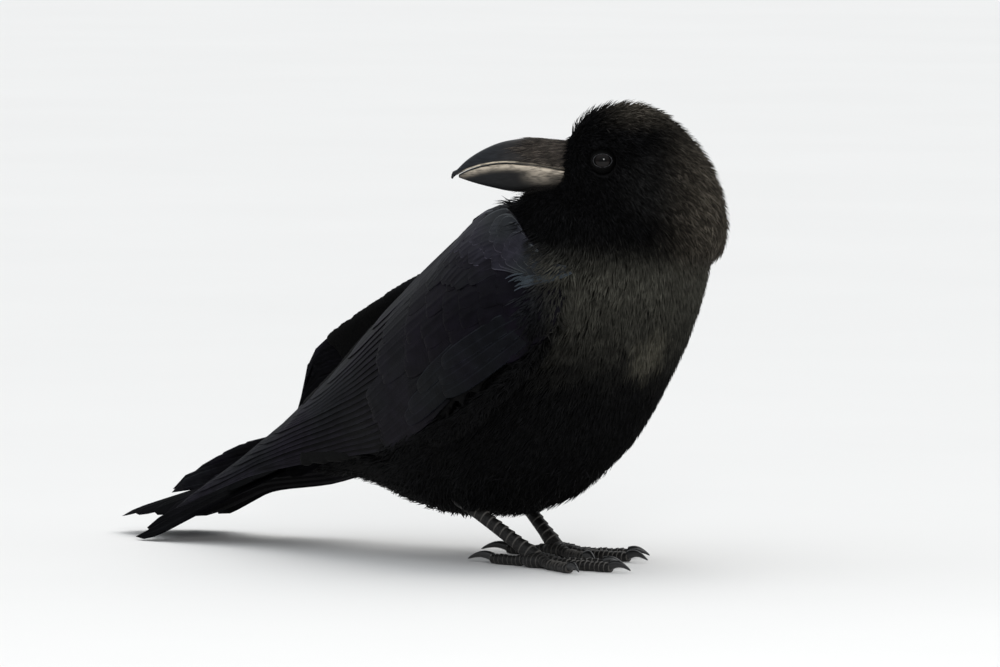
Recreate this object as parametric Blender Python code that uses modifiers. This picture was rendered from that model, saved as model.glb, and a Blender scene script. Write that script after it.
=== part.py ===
"""Large-billed crow, a still life-size model.

It stands on the floor in a low stance, the body pitched up, the folded wings over the tail, and the
head turned back over the right shoulder. Metres; +X is the way the breast faces, +Y the bird's left, +Z up.
Shapes are modelled about a point on the floor between the feet. The whole bird is then set so that the
origin is at the middle of its own box, at floor level.
"""

import math

import bmesh
import bpy
from mathutils import Matrix, Vector
from mathutils.bvhtree import BVHTree

# ---------------------------------------------------------------- driving dimensions
GAP = 0.0003                    # clearance between pieces that meet
HEAD_CENTRE = Vector((0.0575, -0.001, 0.1976))
HEAD_TURN = math.radians(-142)  # the head looks back over the right shoulder
EYE_RADIUS = 0.0072
EYE_FORWARD = 0.0174            # from the head's centre
EYE_UP = 0.0060
EYE_OUT = 0.0200
TAIL_ROOT = Vector((-0.098, 0.0, 0.0625))
TAIL_LENGTH = 0.186             # from the root to the tip of the middle feathers
TAIL_PITCH = math.radians(16.3)
TAIL_SPREAD = math.radians(11)  # each side of the middle
TAIL_ROLL = math.radians(9)     # the right side hangs a little lower
TAIL_ARCH = 13.0                # how fast the tail falls away to the sides, per metre
FEET = {                        # where each foot stands, and how steeply its shank rises to the rear
    "right": (Vector((0.0133, -0.0260, 0.0)), math.radians(31)),
    "left": (Vector((-0.0140, 0.0260, 0.0)), math.radians(44)),
}
FOOT_HEIGHT = 0.0048            # the shank's end above the floor
TARSUS_LENGTH = 0.058
TARSUS_RADIUS = 0.0036
TOE_RADIUS = 0.0029
CLAW_RADIUS = 0.0022

FEATHER = ("plumage", (0.016, 0.016, 0.018), 0.62)
GLOSS = ("wing_plumage", (0.016, 0.016, 0.024), 0.45)
BILL = ("bill_horn", (0.045, 0.043, 0.042), 0.32)
EYE = ("eye", (0.020, 0.011, 0.008), 0.05)
SKIN = ("leg_scales", (0.020, 0.019, 0.019), 0.5)
CLAW = ("claw_horn", (0.016, 0.015, 0.015), 0.3)


# ---------------------------------------------------------------- small helpers
def clear_scene():
    for obj in list(bpy.data.objects):
        bpy.data.objects.remove(obj)


def new_collection(name):
    found = bpy.data.collections.new(name)
    bpy.context.scene.collection.children.link(found)
    return found


def material(finish):
    name, colour, roughness = finish
    found = bpy.data.materials.get(name)
    if found is None:
        found = bpy.data.materials.new(name)
        found.use_nodes = True
        shader = found.node_tree.nodes["Principled BSDF"]
        shader.inputs["Base Color"].default_value = (*colour, 1)
        shader.inputs["Roughness"].default_value = roughness
        shader.inputs["Metallic"].default_value = 0
    return found


def add_object(name, shape, finish, collection):
    """Makes the object of a bmesh, closes and orients its surface, and frees the bmesh."""
    bmesh.ops.remove_doubles(shape, verts=shape.verts, dist=1e-6)
    bmesh.ops.recalc_face_normals(shape, faces=shape.faces)
    mesh = bpy.data.meshes.new(name)
    shape.to_mesh(mesh)
    shape.free()
    mesh.materials.append(material(finish))
    mesh.shade_smooth()
    obj = bpy.data.objects.new(name, mesh)
    collection.objects.link(obj)
    return obj


def apply_modifiers(obj):
    """Replaces the object's mesh by the one that its modifiers make."""
    bpy.context.view_layer.update()
    graph = bpy.context.evaluated_depsgraph_get()
    made = bpy.data.meshes.new_from_object(obj.evaluated_get(graph))
    obj.modifiers.clear()
    obj.data = made
    return obj


def smooth_rows(rows, count):
    """Count rows, evenly spaced by index, on the Catmull-Rom curve through the rows of numbers given."""
    found = []
    last = len(rows) - 1
    for i in range(count):
        at = last * i / (count - 1)
        k = min(int(at), last - 1)
        t = at - k
        a, b, c, d = (rows[min(max(j, 0), last)] for j in (k - 1, k, k + 1, k + 2))
        found.append([
            0.5 * (2 * q + (r - p) * t + (2 * p - 5 * q + 4 * r - s) * t * t + (3 * q - p - 3 * r + s) * t ** 3)
            for p, q, r, s in zip(a, b, c, d)
        ])
    return found


def loft(rings):
    """A closed skin over rings of equally many points, with a flat cap on each end."""
    shape = bmesh.new()
    rows = [[shape.verts.new(point) for point in ring] for ring in rings]
    for low, high in zip(rows, rows[1:]):
        for j in range(len(low)):
            n = (j + 1) % len(low)
            shape.faces.new((low[j], low[n], high[n], high[j]))
    shape.faces.new(rows[0])
    shape.faces.new(rows[-1])
    return shape


def oval(centre, side, up, half_width, above, below, count, power=2.0):
    """A ring of points round centre: half_width to each side, and a different reach above and below."""
    ring = []
    for i in range(count):
        angle = 2 * math.pi * (i + 0.5) / count
        c, s = math.cos(angle), math.sin(angle)
        across = math.copysign(abs(c) ** (2 / power), c) * half_width
        rise = math.copysign(abs(s) ** (2 / power), s) * (above if s > 0 else below)
        ring.append(centre + side * across + up * rise)
    return ring


def tube(points, radii, count, flatten=1.0):
    """Rings square to a line of points, each with its radius; flatten scales the width sideways."""
    rings = []
    for i, point in enumerate(points):
        ahead = points[min(i + 1, len(points) - 1)] - points[max(i - 1, 0)]
        ahead.normalize()
        side = ahead.cross(Vector((0, 0, 1))).normalized()
        up = side.cross(ahead)
        rings.append(oval(point, side, up, radii[i] * flatten, radii[i], radii[i], count))
    return rings


def grown_copy(obj, by, collection):
    """A hidden cutter, the object's shape grown outwards by a clearance."""
    cutter = bpy.data.objects.new(obj.name + "_cutter", obj.data.copy())
    collection.objects.link(cutter)
    swell = cutter.modifiers.new("swell", "DISPLACE")
    swell.strength = by
    swell.mid_level = 0
    apply_modifiers(cutter)
    cutter.hide_render = True
    cutter.display_type = "WIRE"
    return cutter


def keep_largest(obj):
    """Deletes the crumbs that a cut leaves beside the main piece."""
    shape = bmesh.new()
    shape.from_mesh(obj.data)
    unseen = set(shape.verts)
    islands = []
    while unseen:
        island = [unseen.pop()]
        for vert in island:
            for edge in vert.link_edges:
                other = edge.other_vert(vert)
                if other in unseen:
                    unseen.remove(other)
                    island.append(other)
        islands.append(island)
    islands.sort(key=len)
    for island in islands[:-1]:
        bmesh.ops.delete(shape, geom=island, context="VERTS")
    shape.to_mesh(obj.data)
    shape.free()


def carve(obj, neighbour, cutters, gap=GAP):
    """Cuts from the object the space that its neighbour fills, with a clearance."""
    cutter = grown_copy(neighbour, gap, cutters)
    cut = obj.modifiers.new("carve", "BOOLEAN")
    cut.operation = "DIFFERENCE"
    cut.object = cutter
    apply_modifiers(obj)
    bpy.data.objects.remove(cutter)
    keep_largest(obj)


def sliced(mesh, point, normal):
    """A bmesh of the mesh's part on the side that the normal points to, closed by a flat face."""
    shape = bmesh.new()
    shape.from_mesh(mesh)
    cut = bmesh.ops.bisect_plane(
        shape,
        geom=shape.verts[:] + shape.edges[:] + shape.faces[:],
        plane_co=point,
        plane_no=normal,
        clear_inner=True,
    )
    edges = [item for item in cut["geom_cut"] if isinstance(item, bmesh.types.BMEdge)]
    filled = bmesh.ops.holes_fill(shape, edges=edges)
    bmesh.ops.triangulate(shape, faces=filled["faces"])
    return shape


def part_by_plane(obj, name, point, normal, collection):
    """Parts the object with a thin plane cut: the side that the normal points to becomes a new object."""
    normal = Vector(normal).normalized()
    kept = sliced(obj.data, point - normal * (GAP / 2), -normal)
    split = sliced(obj.data, point + normal * (GAP / 2), normal)
    mesh = obj.data.copy()
    mesh.name = name
    split.to_mesh(mesh)
    kept.to_mesh(obj.data)
    split.free()
    kept.free()
    found = bpy.data.objects.new(name, mesh)
    collection.objects.link(found)
    keep_largest(obj)
    keep_largest(found)
    return found


# ---------------------------------------------------------------- trunk, neck and head
# Stations of the trunk from the vent to the top of the breast: x, z, pitch in degrees, half depth to the
# back, half depth to the belly, half width.
TRUNK = (
    (-0.144, 0.0425, 16, 0.0055, 0.0055, 0.013),
    (-0.126, 0.0490, 19, 0.011, 0.010, 0.021),
    (-0.102, 0.0560, 27, 0.021, 0.0250, 0.033),
    (-0.076, 0.0630, 36, 0.034, 0.0500, 0.046),
    (-0.046, 0.0760, 42, 0.049, 0.0640, 0.054),
    (-0.014, 0.0985, 45, 0.060, 0.0690, 0.057),
    (0.014, 0.1265, 46, 0.066, 0.0630, 0.056),
    (0.036, 0.1530, 52, 0.054, 0.0540, 0.053),
    (0.050, 0.1740, 62, 0.034, 0.0420, 0.048),
    (0.055, 0.1880, 72, 0.020, 0.0260, 0.030),
)

# Stations of the head, from the nape to the chin: distance forward, height of the crown line, height of
# the throat line, half width.
HEAD = (
    (-0.0435, -0.0250, -0.0370, 0.012),
    (-0.0415, -0.0135, -0.0410, 0.020),
    (-0.0370, 0.0005, -0.0450, 0.026),
    (-0.0290, 0.0130, -0.0450, 0.031),
    (-0.0175, 0.0250, -0.0415, 0.034),
    (-0.0060, 0.0320, -0.0405, 0.034),
    (0.0055, 0.0338, -0.0385, 0.032),
    (0.0160, 0.0328, -0.0360, 0.029),
    (0.0250, 0.0295, -0.0335, 0.025),
    (0.0310, 0.0240, -0.0310, 0.0205),
    (0.0345, 0.0155, -0.0280, 0.017),
    (0.0370, -0.0040, -0.0250, 0.0145),
    (0.0430, -0.0080, -0.0210, 0.0115),
    (0.0510, -0.0095, -0.0165, 0.0085),
    (0.0580, -0.0105, -0.0130, 0.0050),
)
BACK_TO_HEAD = Vector((-0.2527, 0.0, 1.0))  # square to the cut under the head, in head axes: forward, left, up


def pitched(degrees):
    """The unit vectors along and square to a line in the bird's middle plane."""
    angle = math.radians(degrees)
    along = Vector((math.cos(angle), 0, math.sin(angle)))
    up = Vector((-math.sin(angle), 0, math.cos(angle)))
    return along, up


def trunk_form():
    rings = []
    for x, z, pitch, back, belly, half_width in smooth_rows(TRUNK, 22):
        up = pitched(pitch)[1]
        rings.append(oval(Vector((x, 0, z)), Vector((0, 1, 0)), up, half_width, back, belly, 24, 2.15))
    return loft(rings)


def ankle_of(which):
    foot, slope = FEET[which]
    side = -1 if which == "right" else 1
    reach = Vector((-math.cos(slope), side * 0.06, math.sin(slope)))
    return foot + Vector((0, 0, FOOT_HEIGHT)) + reach * TARSUS_LENGTH


def trouser_rings(which, more):
    """Rings of the feathered thigh, from inside the flank straight down to the top of the bare shank."""
    side = -1 if which == "right" else 1
    foot = FEET[which][0] + Vector((0, 0, FOOT_HEIGHT))
    low = ankle_of(which).lerp(foot, 0.26)
    hip = low + Vector((0.002, side * 0.008, 0.050))
    points = [hip.lerp(low, share) for share in (0.0, 0.25, 0.5, 0.7, 0.86, 1.0)]
    radii = (0.0150, 0.0190, 0.0185, 0.0140, 0.0090, 0.0045)
    rings = []
    for point, radius in zip(points, radii):
        reach = radius + more
        rings.append(oval(point, Vector((1, 0, 0)), Vector((0, 1, 0)), reach, reach, reach, 14))
    return rings


def head_turn():
    return Matrix.Rotation(HEAD_TURN, 3, "Z")


def head_point(forward, left, up):
    return HEAD_CENTRE + head_turn() @ Vector((forward, left, up))


def head_form():
    side = head_turn() @ Vector((0, 1, 0))
    up = Vector((0, 0, 1))
    rings = []
    for ahead, crown, throat, half_width in smooth_rows(HEAD, 30):
        middle = (crown + throat) / 2
        half = (crown - throat) / 2
        rings.append(oval(head_point(ahead, 0, middle), side, up, half_width, half, half, 24, 2.1))
    return loft(rings)


def bird_body(collection, cutters):
    """Trunk, neck, head and trousers in one closed skin, evened by a fine remesh and then thinned."""
    body = add_object("trunk", trunk_form(), FEATHER, collection)
    parts = [add_object("head_form", head_form(), FEATHER, cutters)]
    parts += [add_object("trousers", loft(trouser_rings(which, 0.0)), FEATHER, cutters) for which in FEET]
    for part in parts:
        join = body.modifiers.new("join", "BOOLEAN")
        join.operation = "UNION"
        join.object = part
    even = body.modifiers.new("even", "REMESH")
    even.mode = "VOXEL"
    even.voxel_size = 0.0022
    relax = body.modifiers.new("relax", "SMOOTH")
    relax.iterations = 6
    relax.factor = 0.5
    thin = body.modifiers.new("thin", "DECIMATE")
    thin.ratio = 0.030
    apply_modifiers(body)
    for part in parts:
        bpy.data.objects.remove(part)
    return body


def add_thigh(which, body, collection, cutters):
    """Parts a leg's feathered thigh from the body, inside a slightly wider sleeve."""
    sleeve = add_object("sleeve", loft(trouser_rings(which, 0.0035)), FEATHER, cutters)
    thigh = bpy.data.objects.new("thigh_" + which, body.data.copy())
    collection.objects.link(thigh)
    keep = thigh.modifiers.new("keep", "BOOLEAN")
    keep.operation = "INTERSECT"
    keep.object = sleeve
    apply_modifiers(thigh)
    keep_largest(thigh)
    carve(body, sleeve, cutters)
    bpy.data.objects.remove(sleeve)
    return thigh


def divide_body(body, collection):
    """Parts the whole body into head, neck, trunk and rump."""
    under_head = head_turn() @ BACK_TO_HEAD
    neck = part_by_plane(body, "neck", Vector((0.040, 0, 0.160)), (0.60, 0, 0.80), collection)
    head = part_by_plane(neck, "head", head_point(0, 0, -0.030), under_head, collection)
    rump = part_by_plane(body, "rump", Vector((-0.080, 0, 0.066)), (-0.90, 0, -0.43), collection)
    return head, neck, rump


# ---------------------------------------------------------------- eyes and bill
# Stations of the bill from inside the face to the tip: distance forward, height of the culmen, height of
# the gape line, height of the lower edge, half width.
BILL_STATIONS = (
    (0.0250, 0.0130, -0.0010, -0.0110, 0.0098),
    (0.0330, 0.0145, 0.0005, -0.0112, 0.0098),
    (0.0430, 0.0155, 0.0022, -0.0108, 0.0091),
    (0.0530, 0.0164, 0.0036, -0.0106, 0.0082),
    (0.0630, 0.0154, 0.0045, -0.0099, 0.0071),
    (0.0705, 0.0134, 0.0042, -0.0084, 0.0060),
    (0.0780, 0.0099, 0.0028, -0.0066, 0.0047),
    (0.0845, 0.0056, 0.0006, -0.0046, 0.0033),
    (0.0895, 0.0008, -0.0020, -0.0028, 0.0020),
)
BILL_HOOK = (0.0925, -0.0045)   # the tip of the upper mandible, past the lower one


def upper_mandible():
    side = head_turn() @ Vector((0, 1, 0))
    up = Vector((0, 0, 1))
    rings = []
    for ahead, culmen, gape, _, half_width in smooth_rows(BILL_STATIONS, 17):
        centre = head_point(ahead, 0, gape + 0.0004)
        rings.append(oval(centre, side, up, half_width, culmen - gape - 0.0004, 0.0003, 12, 1.8))
    ahead, drop = BILL_HOOK
    slant = (head_turn() @ Vector((0.8, 0, 0.6))).normalized()
    for share, radius in ((0.5, 0.0011), (1.0, 0.0005)):
        centre = head_point(0.0898 + (ahead - 0.0898) * share, 0, -0.0008 + (drop + 0.0008) * share)
        rings.append(oval(centre, side, slant, radius, radius, radius, 12))
    return loft(rings)


def lower_mandible():
    side = head_turn() @ Vector((0, 1, 0))
    up = Vector((0, 0, 1))
    rings = []
    for ahead, _, gape, lower, half_width in smooth_rows(BILL_STATIONS, 16):
        centre = head_point(ahead, 0, gape - 0.0005)
        depth = max(gape - lower - 0.0005, 0.0005)
        rings.append(oval(centre, side, up, half_width * 0.93, 0.0003, depth, 12, 2.2))
    return loft(rings)


def add_bill(head, collection, cutters):
    for name, shape in (("bill_upper", upper_mandible()), ("bill_lower", lower_mandible())):
        carve(add_object(name, shape, BILL, collection), head, cutters)


def add_eye(name, out, head, collection, cutters):
    """An eyeball in a socket, with a shallow dish round it for the lids."""
    eye = bmesh.new()
    place = Matrix.Translation(head_point(EYE_FORWARD, out, EYE_UP))
    bmesh.ops.create_uvsphere(eye, u_segments=12, v_segments=8, radius=EYE_RADIUS, matrix=place)
    dish = bmesh.new()
    place = Matrix.Translation(head_point(EYE_FORWARD, math.copysign(abs(out) + 0.0105, out), EYE_UP))
    bmesh.ops.create_uvsphere(dish, u_segments=12, v_segments=8, radius=0.0072, matrix=place)
    eye = add_object(name, eye, EYE, collection)
    dish = add_object("dish", dish, EYE, cutters)
    carve(head, dish, cutters)
    carve(head, eye, cutters)
    bpy.data.objects.remove(dish)


# ---------------------------------------------------------------- tail
TAIL_FEATHERS = 12


def tail_reach(share):
    """How far the tail reaches at a share of its spread, -1 to 1: a rounded end with a lobe to each feather."""
    at = (share + 1) / 2 * TAIL_FEATHERS
    lobe = 1 - (2 * (at - math.floor(at)) - 1) ** 2 if 0 < at < TAIL_FEATHERS else 0
    return TAIL_LENGTH - 0.040 * abs(share) ** 1.6 - 0.0045 * (1 - lobe)


def tail_point(share, reach, lift):
    """A point of the tail: share across the fan, reach from its root, lift above its middle surface."""
    angle = share * TAIL_SPREAD
    across = reach * math.sin(angle) + share * 0.008
    along = reach * math.cos(angle)
    fall = TAIL_ARCH * across * across
    local = Vector((-along, across, lift - fall))
    roll = Matrix.Rotation(TAIL_ROLL, 3, "X")
    pitch = Matrix.Rotation(-TAIL_PITCH, 3, "Y")
    return TAIL_ROOT + pitch @ (roll @ local)


def tail_form():
    """A loft across the fan, from the right edge to the left one."""
    rings = []
    steps = 3 * TAIL_FEATHERS
    rows = (0.0, 0.35, 0.7, 1.0)
    for i in range(steps + 1):
        share = -1 + 2 * i / steps
        share = max(min(share, 0.999), -0.999)
        edge = 1 - 0.55 * abs(share) ** 6
        top = [tail_point(share, tail_reach(share) * r, edge * (0.0026 - 0.0018 * r)) for r in rows]
        bottom = [tail_point(share, tail_reach(share) * r, -edge * (0.0026 - 0.0018 * r)) for r in reversed(rows)]
        rings.append(top + bottom)
    return loft(rings)


# ---------------------------------------------------------------- wings
# Stations of each folded wing from the bend to the tip: the edge along the back (x, y, z), the lower edge
# (x, y, z), the bulge outwards and the thickness. Both are given as for a left wing; the right one is
# mirrored. The left wing is held a little off the back.
WINGS = {
    "right": (
        (0.0520, 0.0420, 0.1480, 0.0500, 0.0520, 0.1240, 0.003, 0.004),
        (0.0420, 0.0390, 0.1540, 0.0457, 0.0600, 0.1118, 0.012, 0.012),
        (0.0160, 0.0300, 0.1680, 0.0280, 0.0660, 0.0920, 0.022, 0.016),
        (-0.0180, 0.0200, 0.1720, 0.0000, 0.0640, 0.0730, 0.026, 0.018),
        (-0.0520, 0.0130, 0.1550, -0.0300, 0.0570, 0.0610, 0.025, 0.018),
        (-0.0820, 0.0135, 0.1310, -0.0620, 0.0480, 0.0530, 0.020, 0.014),
        (-0.1060, 0.0150, 0.1080, -0.0890, 0.0420, 0.0495, 0.014, 0.009),
        (-0.1251, 0.0160, 0.0890, -0.1151, 0.0380, 0.0461, 0.009, 0.006),
        (-0.1470, 0.0170, 0.0710, -0.1370, 0.0350, 0.0425, 0.006, 0.0040),
        (-0.1700, 0.0185, 0.0530, -0.1640, 0.0320, 0.0370, 0.004, 0.0030),
        (-0.1957, 0.0205, 0.0352, -0.1900, 0.0295, 0.0280, 0.002, 0.0024),
        (-0.2140, 0.0230, 0.0235, -0.2120, 0.0275, 0.0200, 0.001, 0.0019),
        (-0.2310, 0.0252, 0.0133, -0.2310, 0.0262, 0.0127, 0.000, 0.0014),
    ),
    "left": (
        (0.0300, 0.0340, 0.1650, 0.0360, 0.0560, 0.1080, 0.003, 0.004),
        (0.0160, 0.0300, 0.1740, 0.0250, 0.0600, 0.0920, 0.016, 0.012),
        (-0.0180, 0.0200, 0.1720, 0.0000, 0.0640, 0.0730, 0.024, 0.018),
        (-0.0540, 0.0150, 0.1575, -0.0300, 0.0590, 0.0600, 0.025, 0.018),
        (-0.0900, 0.0190, 0.1425, -0.0640, 0.0490, 0.0510, 0.018, 0.014),
        (-0.1200, 0.0210, 0.1285, -0.0960, 0.0410, 0.0500, 0.012, 0.008),
        (-0.1480, 0.0220, 0.1120, -0.1260, 0.0350, 0.0490, 0.008, 0.005),
        (-0.1740, 0.0220, 0.0925, -0.1520, 0.0290, 0.0470, 0.005, 0.0034),
        (-0.1770, 0.0205, 0.0610, -0.1700, 0.0250, 0.0440, 0.003, 0.0028),
        (-0.2080, 0.0180, 0.0520, -0.2060, 0.0210, 0.0310, 0.002, 0.0024),
        (-0.2360, 0.0160, 0.0370, -0.2360, 0.0180, 0.0250, 0.001, 0.0020),
        (-0.2580, 0.0150, 0.0265, -0.2580, 0.0160, 0.0235, 0.000, 0.0014),
    ),
}
WING_RINGS = 24
WING_ACROSS = 6
PRIMARY_STEPS = 5
EDGE_COVER = 0.0018             # how far the wing's edges stand out from the body under them
MIDDLE_COVER = 0.0062           # the same for the middle of the wing


def wing_section(row, side, bvh, tip_share):
    """A ring round the folded wing: its outer face from the back edge down, then its inner face back up."""
    back, low = Vector(row[0:3]), Vector(row[3:6])
    bulge, thick = row[6], max(row[7], 0.0013)
    step = (tip_share * PRIMARY_STEPS) % 1.0
    back = back.lerp(low, 0.12 * step if 0 < tip_share < 1 else 0)
    across = low - back
    out = Vector((0, 0, 0))
    out.y, out.z = -across.z, across.y
    out.normalize()
    outer, inner = [], []
    for i in range(WING_ACROSS + 1):
        t = i / WING_ACROSS
        crown = math.sin(math.pi * t) ** 0.8
        point = back + across * t + out * (bulge * crown)
        point.y *= side
        near, normal, _, distance = bvh.find_nearest(point)
        stands = (point - near).dot(normal)
        cover = EDGE_COVER + (MIDDLE_COVER - EDGE_COVER) * crown
        if stands < cover and distance < 0.03:
            point = point + normal * (cover - stands)
        outer.append(point)
        depth = Vector((out.x, out.y * side, out.z)) * (0.0013 + (thick - 0.0013) * crown)
        inner.append(point - depth)
    return outer + inner[::-1]


def wing_form(which, body):
    side = -1 if which == "right" else 1
    bvh = BVHTree.FromObject(body, bpy.context.evaluated_depsgraph_get())
    rings = []
    for i, row in enumerate(smooth_rows(WINGS[which], WING_RINGS)):
        tip_share = (i / (WING_RINGS - 1) - 0.66) / 0.34
        rings.append(wing_section(row, side, bvh, tip_share))
    return loft(rings)


def add_wing(which, body, tail, collection, cutters):
    """The folded wing, laid on the body and parted into coverts, secondaries and primaries."""
    side = -1 if which == "right" else 1
    wing = add_object("wing_" + which + "_coverts", wing_form(which, body), GLOSS, collection)
    carve(wing, body, cutters, 2 * GAP)
    carve(wing, tail, cutters)
    along = (-0.86, 0.16 * -side, -0.48)
    name = "wing_" + which + "_secondaries"
    rear = part_by_plane(wing, name, Vector((-0.040, side * 0.05, 0.095)), along, collection)
    name = "wing_" + which + "_primaries"
    part_by_plane(rear, name, Vector((-0.135, side * 0.02, 0.060)), along, collection)


# ---------------------------------------------------------------- legs
# Each toe: its angle from the way ahead, length of the toe, length of the claw, number of pads.
TOES = {
    "hind": (176, 0.0250, 0.0170, 2),
    "inner": (27, 0.0300, 0.0115, 2),
    "middle": (1, 0.0420, 0.0125, 3),
    "outer": (-26, 0.0330, 0.0110, 3),
}


def tarsus_form(which):
    """The scaled shank, with the heel joint at the top and the ball of the foot at the bottom."""
    foot = FEET[which][0] + Vector((0, 0, FOOT_HEIGHT))
    ankle = ankle_of(which)
    points = [ankle.lerp(foot, t) for t in (-0.03, 0.05, 0.15, 0.45, 0.75, 0.9, 1.0)]
    swell = (0.95, 1.3, 1.05, 1.0, 1.05, 1.3, 1.25)
    return loft(tube(points, [TARSUS_RADIUS * s for s in swell], 10, 0.85))


def foot_pad(which):
    pad = bmesh.new()
    size = Matrix.Diagonal((0.0092, 0.0072, 0.0046, 1))
    place = Matrix.Translation(FEET[which][0] + Vector((0.001, 0, 0.0034))) @ size
    bmesh.ops.create_uvsphere(pad, u_segments=12, v_segments=8, radius=1, matrix=place)
    return pad


def flatten_sole(obj):
    """Cuts the piece flat at floor level, so that it stands on a small flat."""
    shape = sliced(obj.data, Vector((0, 0, 0)), Vector((0, 0, 1)))
    shape.to_mesh(obj.data)
    shape.free()


def add_tarsus(which, feathers, collection, cutters):
    tarsus = add_object("tarsus_" + which, tarsus_form(which), SKIN, collection)
    pad = add_object("pad", foot_pad(which), SKIN, cutters)
    join = tarsus.modifiers.new("join", "BOOLEAN")
    join.operation = "UNION"
    join.object = pad
    apply_modifiers(tarsus)
    bpy.data.objects.remove(pad)
    for part in feathers:
        carve(tarsus, part, cutters)
    flatten_sole(tarsus)
    return tarsus


def toe_line(which, toe, count):
    """Points along a toe from the ball of the foot to the root of its claw, low over the floor."""
    angle, length = math.radians(TOES[toe][0]), TOES[toe][1]
    side = -1 if which == "right" else 1
    start = FEET[which][0]
    ahead = Vector((math.cos(angle), side * -math.sin(angle), 0))
    points = []
    for i in range(count):
        share = i / (count - 1)
        height = 0.0024 + 0.0019 * max(1 - share * 3, 0)
        points.append(start + ahead * (length * share + 0.0043) + Vector((0, 0, height)))
    return points, ahead


def add_toe(which, toe, neighbours, collection, cutters):
    pads = TOES[toe][3]
    count = 2 * pads + 3
    points = toe_line(which, toe, count)[0]
    radii = []
    for i in range(count):
        share = i / (count - 1)
        swell = 0.5 - 0.5 * math.cos(2 * math.pi * share * pads)
        radii.append(TOE_RADIUS * (0.92 + 0.18 * swell - 0.10 * share))
    made = add_object(f"toe_{which}_{toe}", loft(tube(points, radii, 8, 1.05)), SKIN, collection)
    for other in neighbours:
        carve(made, other, cutters)
    flatten_sole(made)
    return made


def add_claw(which, toe, collection):
    """A curved horn that leaves the toe's end and comes down to the floor."""
    points, ahead = toe_line(which, toe, 8)
    base = points[-1] + Vector((0, 0, 0.0002))
    up = Vector((0, 0, 1))
    rings = []
    for i in range(6):
        share = i / 5
        rise = 0.0022 * math.sin(math.pi * min(share * 0.9 + 0.1, 1)) - 0.0009 * share
        radius = CLAW_RADIUS * (1 - share) ** 0.7 + 0.0003
        centre = base + ahead * (GAP + TOES[toe][2] * share) + up * rise
        rings.append(oval(centre, ahead.cross(up), up, radius * 0.8, radius, radius, 6))
    claw = add_object(f"claw_{which}_{toe}", loft(rings), CLAW, collection)
    flatten_sole(claw)


def add_leg(which, body, collection, cutters):
    thigh = add_thigh(which, body, collection, cutters)
    tarsus = add_tarsus(which, (thigh, body), collection, cutters)
    toes = []
    for toe in TOES:
        toes.append(add_toe(which, toe, [tarsus] + toes[1:], collection, cutters))
        add_claw(which, toe, collection)


# ---------------------------------------------------------------- the whole bird
def set_on_origin(collection):
    """Moves every piece so that the origin is the middle of the bird's box, at floor level."""
    corners = [obj.matrix_world @ Vector(corner) for obj in collection.objects for corner in obj.bound_box]
    middle = Vector((
        (min(c.x for c in corners) + max(c.x for c in corners)) / 2,
        (min(c.y for c in corners) + max(c.y for c in corners)) / 2,
        0.0,
    ))
    for obj in collection.objects:
        obj.location = -middle
    return -middle


def main():
    clear_scene()
    crow = new_collection("large_billed_crow")
    cutters = new_collection("cutters")
    body = bird_body(crow, cutters)
    tail = add_object("tail", tail_form(), GLOSS, crow)
    carve(tail, body, cutters, 2 * GAP)
    for which in ("right", "left"):
        add_wing(which, body, tail, crow, cutters)
        add_leg(which, body, crow, cutters)
    head = divide_body(body, crow)[0]
    add_bill(head, crow, cutters)
    add_eye("eye_left", EYE_OUT, head, crow, cutters)
    add_eye("eye_right", -EYE_OUT, head, crow, cutters)
    return set_on_origin(crow)


OFFSET_USED = main()
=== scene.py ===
# %% [markdown]
# # A large-billed crow, feather by feather
# The bird is life-size and stands still: low on its legs, body pitched up, wings folded over the tail, and
# the head turned back over its right shoulder. A crow looks plainly black, but almost all of its character
# is in how the black is made. The head is plush, the breast is hairy, the mantle is scalloped and the wings
# are stacks of long glossy vanes. So this lesson makes one smooth skin first, and then lays feathers on it.

# %% Load the frame
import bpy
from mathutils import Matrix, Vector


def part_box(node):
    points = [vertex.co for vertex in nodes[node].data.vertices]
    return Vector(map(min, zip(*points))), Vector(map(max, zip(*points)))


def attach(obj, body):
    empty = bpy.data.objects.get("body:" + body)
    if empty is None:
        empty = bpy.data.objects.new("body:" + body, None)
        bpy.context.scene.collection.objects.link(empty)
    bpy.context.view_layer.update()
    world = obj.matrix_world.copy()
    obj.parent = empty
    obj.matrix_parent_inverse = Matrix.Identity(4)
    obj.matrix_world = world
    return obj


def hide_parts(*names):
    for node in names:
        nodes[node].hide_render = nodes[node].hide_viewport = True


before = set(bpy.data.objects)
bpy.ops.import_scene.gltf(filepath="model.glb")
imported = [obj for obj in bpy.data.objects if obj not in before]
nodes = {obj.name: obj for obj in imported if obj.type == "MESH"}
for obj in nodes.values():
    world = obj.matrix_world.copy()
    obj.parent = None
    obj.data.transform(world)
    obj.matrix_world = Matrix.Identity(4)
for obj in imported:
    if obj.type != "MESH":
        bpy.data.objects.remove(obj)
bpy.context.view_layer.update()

# %% [markdown]
# Single pieces, such as the bill and the toes, are shaped with bmesh. The many thousand feathers are worked
# out together with numpy. Every random choice comes from one seeded source, so each run makes the same
# bird.

# %% Get the tools
import math

import bmesh
import bpy
import numpy as np
from mathutils import Matrix, Vector
from mathutils.bvhtree import BVHTree

chance = np.random.default_rng(7)
MM = 0.001
MM2_PER_M2 = 1e6
UP = Vector((0, 0, 1))
DOWN = np.array((0.0, 0.0, -1.0))

# %% [markdown]
# ## Where the bird is
# Everything is placed from the frame, with two sets of axes. The bird's own start on the floor between the
# feet: x ahead, y to its left, z up. The head's start inside the skull and turn with it: forward along the
# bill, left and up. The eyes give them, because a line through both is square to the way the head looks.

# %% Bird axes and head axes
def middle(name):
    low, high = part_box(name)
    return (low + high) / 2


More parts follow.
